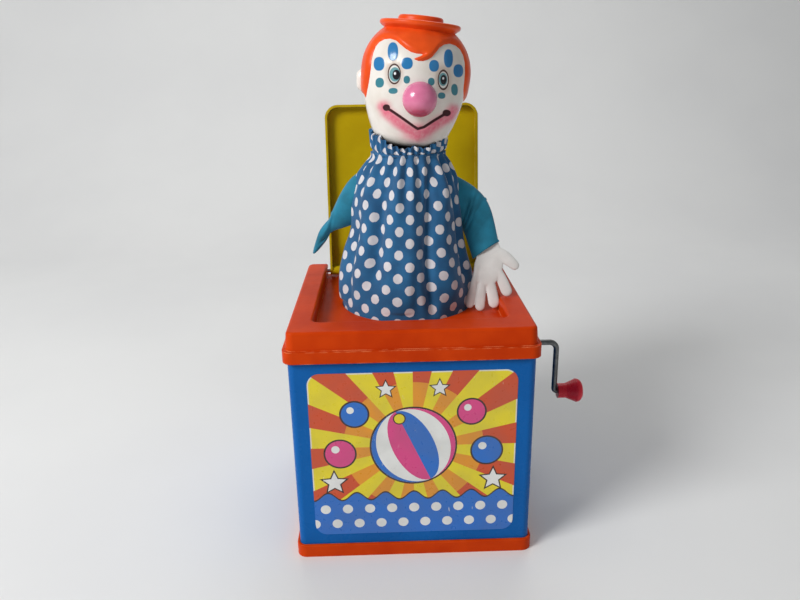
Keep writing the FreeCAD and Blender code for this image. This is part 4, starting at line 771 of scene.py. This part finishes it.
def makeRuffle():
    rows, columns = ruffle["rows"], ruffle["columns"]
    turns = ringTurns(columns, -math.pi)
    share = np.linspace(0, 1, rows)
    side = np.sin(turns) ** 2
    ends = np.where(np.cos(turns) > 0, ruffle["frontTop"], ruffle["backTop"])
    flanks = np.where(turns < 0, ruffle["leftTop"], ruffle["rightTop"])
    top = ends * (1 - side) + flanks * side
    for count, high, shift in ruffle["edgeWaves"]:
        top = top + high * np.sin(turns * count + shift)
    turn, climb = np.meshgrid(turns, share)
    level = ruffle["low"] + climb * (top - ruffle["low"])
    level = level + ruffle["lipWave"] * climb * gathering(turn + ruffle["lipShift"], ruffle["gathers"])
    pinch = np.exp(-((climb - ruffle["pinchAt"]) / ruffle["pinchHalf"]) ** 2)
    least, most = ruffle["flare"]
    spread = (least + (most - least) * np.sin(turn) ** 2) * climb ** ruffle["flareBend"]
    ripple = ruffle["ripple"] * (ruffle["rippleLow"] + (1 - ruffle["rippleLow"]) * climb)
    ripple = ripple * (1 - ruffle["pinchCalm"] * pinch) * gathering(turn, ruffle["gathers"])
    radius = ruffle["start"] + spread - ruffle["pinchDepth"] * pinch + ripple
    points = aroundAxis(turn.ravel(), radius.ravel(), level.ravel())
    piece = makePiece("neck_frill", points, gridFaces(rows, columns), finishes["dotted_cloth"],
                      "puppet", ["neck_ruffle", "neck_band"])
    layCloth(piece, np.linspace(0, ruffle["cells"] * cloth["cellWide"], columns, endpoint=False),
             share * (ruffle["leftTop"] - ruffle["low"]) + ruffle["clothFrom"])
    thicken(piece, ruffle["thick"])


makeRuffle()
print("gown and ruffle made")

# sleeves: flat tubes of plain teal cloth; each station is centre, direction across, half width, half depth

sleeves = {
    "columns": 72, "rows": 70, "thick": 0.5, "lens": 1.25, "blendFrom": 6.4, "blendTo": 271.6,
    "crumple": {"depth": 0.25, "waves": 14, "twist": 3, "from": (0.1, 0.3)},
    "crease": {"slant": 0.05, "half": 0.035}, "hem": {"depth": 0.35, "from": (0.90, 0.915)},
    "cloth": {"tint": (0.010, 0.210, 0.335), "tintDeep": (0.006, 0.150, 0.235), "patch": 9,
              "thread": 0.36, "bump": 0.25, "rough": 0.8, "sheen": 0.3, "sheenRough": 0.4},
    # creases are place along the sleeve and depth
    "left": {"stations": [(-23.5, 6.5, 204.2, 0, 0, 1, 16.5, 7.5), (-33.1, 6.8, 199.6, 0, 0, 1, 14.4, 6.5),
                          (-39.8, 7.5, 194.0, 0, 0, 1, 10.9, 5.5), (-45.7, 8.5, 187.7, 0.1, 0, 1, 7.2, 4.2),
                          (-51.0, 10.0, 180.6, 0.5, 0, 0.87, 8.2, 3.0),
                          (-52.9, 13.0, 175.7, 0.53, 0, 0.85, 11.4, 2.6),
                          (-53.4, 18.8, 174.3, 0.53, 0, 0.85, 11.2, 2.2)],
             "creases": [(0.48, 0.5), (0.60, 0.5)], "flat": (0.052, 0.048), "node": "left_sleeve"},
    "right": {"stations": [(25.0, 6.5, 203.5, 0.1, 0, 1, 13.3, 7.0),
                           (37.4, 4.0, 195.8, 0.36, 0, 0.93, 12.5, 6.5),
                           (43.4, 0.5, 187.3, 0.62, 0, 0.78, 11.7, 5.5),
                           (48.0, -6.5, 170.4, 0.83, 0, 0.56, 9.3, 3.2)],
              "creases": [(0.36, 1.1), (0.46, 0.9), (0.60, 0.8), (0.80, 0.4)], "flat": (0.050, 0.044),
              "node": "right_sleeve"}}


def tealFinish():
    finish = newFinish("teal_cloth")
    look = sleeves["cloth"]
    setWoven(finish, cloudyTint(finish, look["patch"], look["tintDeep"], look["tint"]), look)
    return finish


finishes["teal_cloth"] = tealFinish()


def makeSleeve(side):
    look = sleeves[side]
    rows, columns = sleeves["rows"], sleeves["columns"]
    crumpled, crease, hem = sleeves["crumple"], sleeves["crease"], sleeves["hem"]
    line = throughPoints(look["stations"], rows)
    centres = line[:, :3]
    runs = unit(np.gradient(centres, axis=0))
    turns = ringTurns(columns)
    sine = np.sin(turns)
    lens = np.sign(sine) * np.abs(sine) ** sleeves["lens"]
    points = []
    for row in range(rows):
        share = row / (rows - 1)
        across = unit(line[row, 3:6])
        deep = unit(np.cross(runs[row], across))
        halfWide, halfDeep = line[row, 6:]
        puff = crumpled["depth"] * np.sin(crumpled["waves"] * share + crumpled["twist"] * np.cos(turns))
        puff = puff * smoothStep(*crumpled["from"], share)
        for at, depth in look["creases"]:
            slant = share - at + crease["slant"] * np.cos(turns)
            puff = puff - depth * np.exp(-(slant / crease["half"]) ** 2) * np.abs(sine)
        puff = puff + hem["depth"] * smoothStep(*hem["from"], share) * np.abs(sine)
        swell = halfDeep * lens + np.sign(sine) * puff
        points.append(centres[row] + np.outer(halfWide * np.cos(turns), across) + np.outer(swell, deep))
    piece = makePiece(f"{side}_arm_sleeve", np.vstack(points), gridFaces(rows, columns),
                      finishes["teal_cloth"], None, [look["node"]])
    slant = np.concatenate([[0], np.cumsum(np.linalg.norm(np.diff(centres, axis=0), axis=1))])
    layCloth(piece, np.linspace(0, look["flat"][0] / mm, columns, endpoint=False), slant)
    thicken(piece, sleeves["thick"])
    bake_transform(piece)


makeSleeve("left")
makeSleeve("right")

# hands: flat vinyl mitts, each finger a rounded bar run into the palm

hands = {
    "thick": 2.4, "columns": 20, "palmColumns": 40, "tipTurns": (25, 50, 72, 88), "tipBlunt": 0.6,
    # middle across and half width at the wrist; then middle across, place along the hand and half width
    "wrist": (1.2, 6.3),
    "palm": [(1.6, 1.0, 7.4), (1.8, 5.0, 8.2), (1.4, 9.0, 8.8), (0.7, 12.5, 8.7), (0, 14.5, 8.0)],
    # each finger: place in the palm, root and tip across and along the hand, its curl and its breadth
    "fingers": [((-5.4, 11.0), (-7.6, 20.1), (-10.1, 32.9), 1.2, 0.92),
                ((-2.0, 12.0), (-2.8, 20.7), (-3.9, 34.4), 0.8, 1.0),
                ((1.6, 10.0), (2.1, 18.2), (4.5, 32.1), 1.0, 1.14),
                ((4.4, 6.0), (6.9, 12.4), (12.2, 25.0), 1.4, 1.14)],
    "fingerHalves": [2.6, 2.1, 1.95, 2.25, 2.7, 3.0, 3.05],
    "thumb": ((4.0, 1.5), (10.5, 4.2), (17.0, 9.4), 1.0, 1.0),
    "thumbHalves": [4.2, 4.3, 4.3, 4.1, 3.8, 3.4, 3.0], "rootCurl": 0.2,
    "voxel": 0.4, "smoothing": 6, "smoothShare": 0.5, "blendFrom": 6.4, "blendTo": 271.6,
    "left": {"wrist": (-53.5, 19.3, 174.1), "way": (-0.09, 0.97, -0.23), "across": (0.53, 0, 0.85),
             "closed": 0.6, "tuck": 0.5, "node": "left_hand"},
    "right": {"wrist": (48.4, -7.0, 170.9), "way": (-0.03, -0.36, -0.93), "across": (0.93, 0.02, 0.33),
              "closed": 1.0, "tuck": 4.0, "node": "right_hand"}}


def barPoints(line, halves, columns):
    # flattened rounded bar along a line in the hand's own plane
    line, halves = np.asarray(line, float), np.asarray(halves, float)
    thin = hands["thick"] / 2
    turns = ringTurns(columns)
    runs = unit(np.gradient(line, axis=0))
    rings = [(centre, run, half, thin) for centre, run, half in zip(line, runs, halves)]
    for end, at in ((-1, 0), (1, -1)):
        tips = []
        for a in np.radians(hands["tipTurns"]):
            centre = line[at] + end * runs[at] * halves[at] * math.sin(a)
            half, deep = halves[at] * math.cos(a), thin * math.cos(a) ** hands["tipBlunt"]
            tips.append((centre, runs[at], half, deep))
        rings = tips[::-1] + rings if end < 0 else rings + tips
    points = []
    for centre, run, half, deep in rings:
        side = unit(np.cross(run, (0, 0, 1)))
        over = np.cross(side, run)
        points.append(centre + np.outer(half * np.cos(turns), side) + np.outer(deep * np.sin(turns), over))
    return np.vstack(points), len(rings), columns


def makeHand(side):
    look = hands[side]
    middle, half = hands["wrist"]
    palm = np.array([(middle, -look["tuck"], half), *hands["palm"]])
    bars = [barPoints(palm * (1, 1, 0), palm[:, 2], hands["palmColumns"])]
    digits = [(finger, hands["fingerHalves"]) for finger in hands["fingers"]]
    for (start, root, tip, curl, breadth), halves in [*digits, (hands["thumb"], hands["thumbHalves"])]:
        line = throughPoints([(*start, 0), (*root, hands["rootCurl"] * curl), (*tip, curl)], len(halves))
        bars.append(barPoints(line, np.array(halves) * breadth, hands["columns"]))
    points, faces = [], []
    for bar, rows, columns in bars:
        first = sum(len(p) for p in points)
        points.append(bar)
        faces += gridFaces(rows, columns, first)
        faces += [tuple(first + c for c in range(columns))[::-1],
                  tuple(first + (rows - 1) * columns + c for c in range(columns))]
    along = unit(np.array(look["way"]))
    normal = unit(np.cross(look["across"], along))
    across = np.cross(along, normal)
    flat = np.vstack(points) * (look["closed"], 1, 1)
    placed = np.array(look["wrist"]) + flat @ np.array([across, along, normal])
    rough = makePiece(f"{side}_hand_bars", placed, faces, finishes["white_vinyl"])
    melt = rough.modifiers.new("melt", "REMESH")
    melt.mode = "VOXEL"
    melt.voxel_size = hands["voxel"] * mm
    ease = rough.modifiers.new("ease", "SMOOTH")
    ease.iterations = hands["smoothing"]
    ease.factor = hands["smoothShare"]
    bpy.context.view_layer.update()
    mesh = bpy.data.meshes.new_from_object(rough.evaluated_get(bpy.context.evaluated_depsgraph_get()))
    bpy.data.objects.remove(rough)
    mesh.name = f"{side}_mitt"
    mesh.shade_smooth()
    piece = bpy.data.objects.new(f"{side}_mitt", mesh)
    scene.collection.objects.link(piece)
    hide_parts(look["node"])
    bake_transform(piece)


makeHand("left")
makeHand("right")
print("sleeves and hands made")

# main spring, hidden under the gown, with closed turns at each end

spring = {"radius": 17.5, "wire": 0.5, "turns": 9.0, "axis": (0.0, 6.5),
          "closedTurns": 1.0, "closedRise": 2.8, "perTurn": 64, "columns": 10,
          "anchor": (0, 0.0065, 0.005), "keep": 0.042}


def makeSpring():
    low, high = (corner.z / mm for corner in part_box("main_spring"))
    low, high = low + spring["wire"], high - spring["wire"]
    count, columns = int(spring["turns"] * spring["perTurn"]), spring["columns"]
    turns = np.linspace(0, 1, count) * spring["turns"]
    openTurns = spring["turns"] - 2 * spring["closedTurns"]
    opened = np.clip((turns - spring["closedTurns"]) / openTurns, 0, 1)
    ends = spring["closedRise"] / 2 * (np.clip(turns, 0, 1) + np.clip(turns - spring["turns"] + 1, 0, 1))
    level = low + ends + opened * (high - low - spring["closedRise"])
    circle = ringTurns(columns)
    points = []
    for a, z in zip(turns * 2 * math.pi, level):
        out = np.array([math.cos(a), math.sin(a), 0])
        centre = np.array([*spring["axis"], z]) + spring["radius"] * out
        ring = np.outer(np.cos(circle), out) + np.outer(np.sin(circle), (0, 0, 1))
        points.append(centre + spring["wire"] * ring)
    faces = [f[::-1] for f in gridFaces(count, columns)]
    last = (count - 1) * columns
    faces += [tuple(range(columns)), tuple(last + c for c in range(columns))[::-1]]
    piece = makePiece("coil_spring", np.vstack(points), faces, finishes["spring_steel"],
                      "box", ["main_spring"])
    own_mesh(piece)


makeSpring()

# latch's leaf spring: a strip held under the top, bowed a little

leaf = {"steps": 14, "bow": 0.075, "blendFrom": 141.5, "blendTo": 128.5}


def makeLeaf():
    low, high = (np.array(corner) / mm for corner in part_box("latch_leaf"))
    points = []
    for level in np.linspace(low[2], high[2], leaf["steps"]):
        sag = leaf["bow"] * math.sin(math.pi * (level - low[2]) / (high[2] - low[2]))
        near, far = low[1] + sag, high[1] + sag
        points += [(low[0], near, level), (high[0], near, level),
                   (high[0], far, level), (low[0], far, level)]
    faces = gridFaces(leaf["steps"], 4)
    top = 4 * (leaf["steps"] - 1)
    faces += [(3, 2, 1, 0), (top, top + 1, top + 2, top + 3)]
    piece = makePiece("latch_strip", points, faces, finishes["bright_steel"],
                      None, ["latch_leaf"])
    piece.data.shade_flat()
    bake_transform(piece)


makeLeaf()
print("springs made")

# printed front: a plain fairground design cut into flat areas of ink

label = {"corner": 7.0, "cornerSteps": 12, "border": 0.7, "thick": 0.2, "outline": 1.0, "tolerance": 1e-4,
         "sun": (0.0, 6.0), "rays": 14, "rayEnds": (18.0, 40.0, 114.0), "raySteps": 5,
         "ball": {"at": (0.0, 6.0), "radius": 24.0, "steps": 72, "gores": 6, "goreSteps": 25, "tilt": 24.0,
                  "capShare": 0.80, "capRadius": 2.9, "capEdge": 3.6},
         "smallBalls": [(-42, 2, 8.5), (-33, 27, 7.5), (33, 27, 7.5), (42, 2, 8.5)],
         # the glint's place and radius are shares of the small ball's radius
         "glint": {"left": 0.3, "up": 0.34, "radius": 0.28, "steps": 20},
         "stars": [(-46, -17, 7.0), (46, -17, 7.0), (-15, 42, 5.0), (15, 42, 5.0)],
         "starPoints": 5, "starWaist": 0.46, "starEdge": 1.28,
         "band": {"level": -27.0, "waves": 7, "swell": 2.6, "past": 5, "steps": 120},
         "dots": {"rows": 2, "eachSide": 5, "gap": 13.0, "drop": 8.0, "rowGap": 10.0, "radius": 3.0,
                  "steps": 24}}
inkTints = {"cream": (0.80, 0.76, 0.62), "yellow": (0.80, 0.66, 0.012), "orange": (0.78, 0.30, 0.012),
            "red": (0.62, 0.070, 0.012), "dark": (0.030, 0.014, 0.008), "blue": (0.012, 0.150, 0.560),
            "white": (0.80, 0.80, 0.77), "pink": (0.70, 0.055, 0.230)}
inkLook = {"fadeShare": 0.82, "fadeLift": 0.02, "patch": 18, "rubPatch": 2.2, "rubDetail": 6.0,
           "rubStretch": (1, 1, 0.25), "rubbed": (0.70, 0.76, 0.0, 0.55),
           "shinePatch": 3, "shine": (0.26, 0.42), "grain": 7, "bump": 0.08, "coat": 0.2, "coatRough": 0.25}


def inkFinish(name):
    finish = newFinish(f"ink_{name}")
    tint = inkTints[name]
    faded = [inkLook["fadeShare"] * value + inkLook["fadeLift"] for value in tint]
    colour = cloudyTint(finish, inkLook["patch"], faded, tint)
    rubs = speckle(finish, inkLook["rubPatch"], inkLook["rubDetail"], inkLook["rubStretch"])
    colour = mixColour(finish, ramp(finish, rubs, *inkLook["rubbed"]), colour, solid(inkTints["cream"]))
    rough = clouds(finish, inkLook["shinePatch"], *inkLook["shine"])
    normal = roundedNormal(finish, speckle(finish, inkLook["grain"]), inkLook["bump"])
    setShader(finish, {"Base Color": colour, "Roughness": rough, "Normal": normal,
                       "Coat Weight": inkLook["coat"], "Coat Roughness": inkLook["coatRough"]})
    return finish


def arcLine(x, y, radius, turns):
    return [(x + radius * math.cos(a), y + radius * math.sin(a)) for a in turns]


def discLine(x, y, radius, count=48):
    return arcLine(x, y, radius, ringTurns(count))


def roundedLine(halfWide, halfHigh, corner):
    spots = []
    for sx, sy, start in ((1, 1, 0), (-1, 1, 90), (-1, -1, 180), (1, -1, 270)):
        turns = np.radians(np.linspace(start, start + 90, label["cornerSteps"]))
        spots += arcLine(sx * (halfWide - corner), sy * (halfHigh - corner), corner, turns)
    return spots


def starLine(x, y, radius):
    spots = []
    step = 180 / label["starPoints"]
    for index in range(2 * label["starPoints"]):
        reach = radius if index % 2 == 0 else radius * label["starWaist"]
        spots += arcLine(x, y, reach, [math.radians(90 + step * index)])
    return spots


def onBall(u, v):
    ball = label["ball"]
    tilt = math.radians(ball["tilt"])
    x, y = ball["at"]
    return x + u * math.cos(tilt) - v * math.sin(tilt), y + u * math.sin(tilt) + v * math.cos(tilt)


def goreLine(first, last):
    radius = label["ball"]["radius"]
    lats = np.radians(np.linspace(-90, 90, label["ball"]["goreSteps"]))
    edge = [(radius * math.sin(first) * math.cos(a), radius * math.sin(a)) for a in lats]
    edge += [(radius * math.sin(last) * math.cos(a), radius * math.sin(a)) for a in lats[-2:0:-1]]
    return [onBall(u, v) for u, v in edge]


def bandLine(halfWide, halfHigh, lift):
    band = label["band"]
    wide, low = halfWide + band["past"], -halfHigh - band["past"]
    spots = [(-wide, low), (wide, low)]
    for x in np.linspace(wide, -wide, band["steps"]):
        swell = band["swell"] * math.cos(band["waves"] * math.pi * x / halfWide)
        spots.append((x, band["level"] + lift + swell))
    return spots


def sunAreas():
    step = 2 * math.pi / label["rays"]
    start, change, end = label["rayEnds"]
    areas = []
    for ray in range(label["rays"]):
        arc = np.linspace(ray * step, (ray + 0.5) * step, label["raySteps"])
        for ink, near, far in (("orange", start, change), ("red", change, end)):
            areas.append((ink, arcLine(*label["sun"], near, arc) + arcLine(*label["sun"], far, arc[::-1])))
    return areas


def ballAreas(edge):
    ball = label["ball"]
    areas = [("dark", discLine(*ball["at"], ball["radius"] + edge, ball["steps"])),
             ("white", discLine(*ball["at"], ball["radius"], ball["steps"]))]
    gores = np.radians(np.linspace(-90, 90, ball["gores"] + 1))
    for index in range(ball["gores"]):
        areas.append((("blue", "white", "pink")[index % 3], goreLine(gores[index], gores[index + 1])))
    cap = onBall(0, ball["radius"] * ball["capShare"])
    areas += [("dark", discLine(*cap, ball["capEdge"])), ("yellow", discLine(*cap, ball["capRadius"]))]
    glint = label["glint"]
    for index, (x, y, radius) in enumerate(label["smallBalls"]):
        shine = (x - radius * glint["left"], y + radius * glint["up"], radius * glint["radius"])
        areas += [("dark", discLine(x, y, radius + edge)),
                  (("pink", "blue")[index % 2], discLine(x, y, radius)),
                  ("white", discLine(*shine, glint["steps"]))]
    return areas


def bandAreas(halfWide, halfHigh, edge):
    areas = [("dark", bandLine(halfWide, halfHigh, edge)), ("blue", bandLine(halfWide, halfHigh, 0.0))]
    dots = label["dots"]
    for row in range(dots["rows"]):
        level = label["band"]["level"] - dots["drop"] - row * dots["rowGap"]
        for column in range(-dots["eachSide"], dots["eachSide"] + 1):
            x = (column + 0.5 * row) * dots["gap"]
            areas.append(("white", discLine(x, level, dots["radius"], dots["steps"])))
    return areas


def labelAreas(halfWide, halfHigh):
    # from the bottom up: a later area covers an earlier one
    border, corner, edge = label["border"], label["corner"], label["outline"]
    areas = [("cream", roundedLine(halfWide, halfHigh, corner)),
             ("yellow", roundedLine(halfWide - border, halfHigh - border, corner - border))]
    areas += sunAreas() + ballAreas(edge)
    for x, y, radius in label["stars"]:
        areas += [("dark", starLine(x, y, radius * label["starEdge"])), ("white", starLine(x, y, radius))]
    return areas + bandAreas(halfWide, halfHigh, edge)


def makeLabel():
    low, high = (np.array(corner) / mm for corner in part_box("front_label"))
    halfWide, halfHigh = (high[0] - low[0]) / 2, (high[2] - low[2]) / 2
    middle = (low + high) / 2
    areas = labelAreas(halfWide, halfHigh)
    spots, rings = [], []
    for _, line in areas:
        ring = list(range(len(spots), len(spots) + len(line)))
        turned = sum(a[0] * b[1] - b[0] * a[1] for a, b in zip(line, line[1:] + line[:1]))
        rings.append(ring if turned > 0 else ring[::-1])
        spots += [Vector(spot) for spot in line]
    flat, _, faces, _, _, owners = delaunay_2d_cdt(spots, [], rings, 1, label["tolerance"])
    inks = list(inkTints)
    kept = [(corners, max(owner)) for corners, owner in zip(faces, owners) if 0 in owner]
    used, faces = compactFaces([corners for corners, _ in kept])
    points = [(middle[0] + flat[v].x, low[1], middle[2] + flat[v].y) for v in used]
    piece = makePiece("printed_front", points, faces, inkFinish(inks[0]),
                      "box", ["front_label"])
    for ink in inks[1:]:
        piece.data.materials.append(inkFinish(ink))
    for polygon, (_, owner) in zip(piece.data.polygons, kept):
        polygon.material_index = inks.index(areas[owner][0])
    piece.data.shade_flat()
    thicken(piece, label["thick"])


makeLabel()
print("front print made")

# pale floor and backdrop, soft light; sizes and places in metres

stageLook = {"tint": (0.80, 0.80, 0.79), "deep": (0.76, 0.76, 0.755), "patch": 300, "rough": 0.85,
             "half": 2.2, "front": -3.3, "wallAt": 1.1, "bend": 0.5, "bendTurns": (6, 90, 15)}


def makeStage():
    finish = newFinish("pale_floor")
    colour = cloudyTint(finish, stageLook["patch"], stageLook["deep"], stageLook["tint"])
    setShader(finish, {"Base Color": colour, "Roughness": stageLook["rough"]})
    half, wallAt, bend = stageLook["half"], stageLook["wallAt"], stageLook["bend"]
    line = [(stageLook["front"], 0.0), (wallAt - bend, 0.0)]
    for a in np.radians(np.linspace(*stageLook["bendTurns"])):
        line.append((wallAt - bend + bend * math.sin(a), bend * (1 - math.cos(a))))
    line.append((wallAt, half))
    points = [(x, y, z) for y, z in line for x in (-half, half)]
    faces = [(2 * i, 2 * i + 1, 2 * i + 3, 2 * i + 2) for i in range(len(line) - 1)]
    mesh = bpy.data.meshes.new("pale_floor")
    mesh.from_pydata(points, [], faces)
    mesh.materials.append(finish)
    mesh.shade_smooth()
    floor = bpy.data.objects.new("pale_floor", mesh)
    scene.collection.objects.link(floor)


makeStage()

lamps = {"key": {"place": (-1.15, -0.78, 1.05), "size": 0.7, "power": 23.0},
         "fill": {"place": (0.95, -0.80, 0.60), "size": 1.1, "power": 0.8},
         "rear": {"place": (0.10, 0.75, 1.25), "size": 0.9, "power": 4.5}}
studio = {"aimAt": (0.0, 0.0, 0.15), "world": (0.62, 0.64, 0.66), "worldStrength": 0.34}

for name, look in lamps.items():
    data = bpy.data.lights.new(name, "AREA")
    data.shape = "DISK"
    data.size = look["size"]
    data.energy = look["power"]
    lamp = bpy.data.objects.new(name, data)
    lamp.location = look["place"]
    sight = Vector(studio["aimAt"]) - Vector(look["place"])
    lamp.rotation_euler = sight.to_track_quat("-Z", "Y").to_euler()
    scene.collection.objects.link(lamp)

world = bpy.data.worlds.new("studio")
world.use_nodes = True
background = world.node_tree.nodes["Background"]
background.inputs["Color"].default_value = solid(studio["world"])
background.inputs["Strength"].default_value = studio["worldStrength"]
scene.world = world
scene.view_settings.view_transform = "Standard"
print("stage, camera and light set")
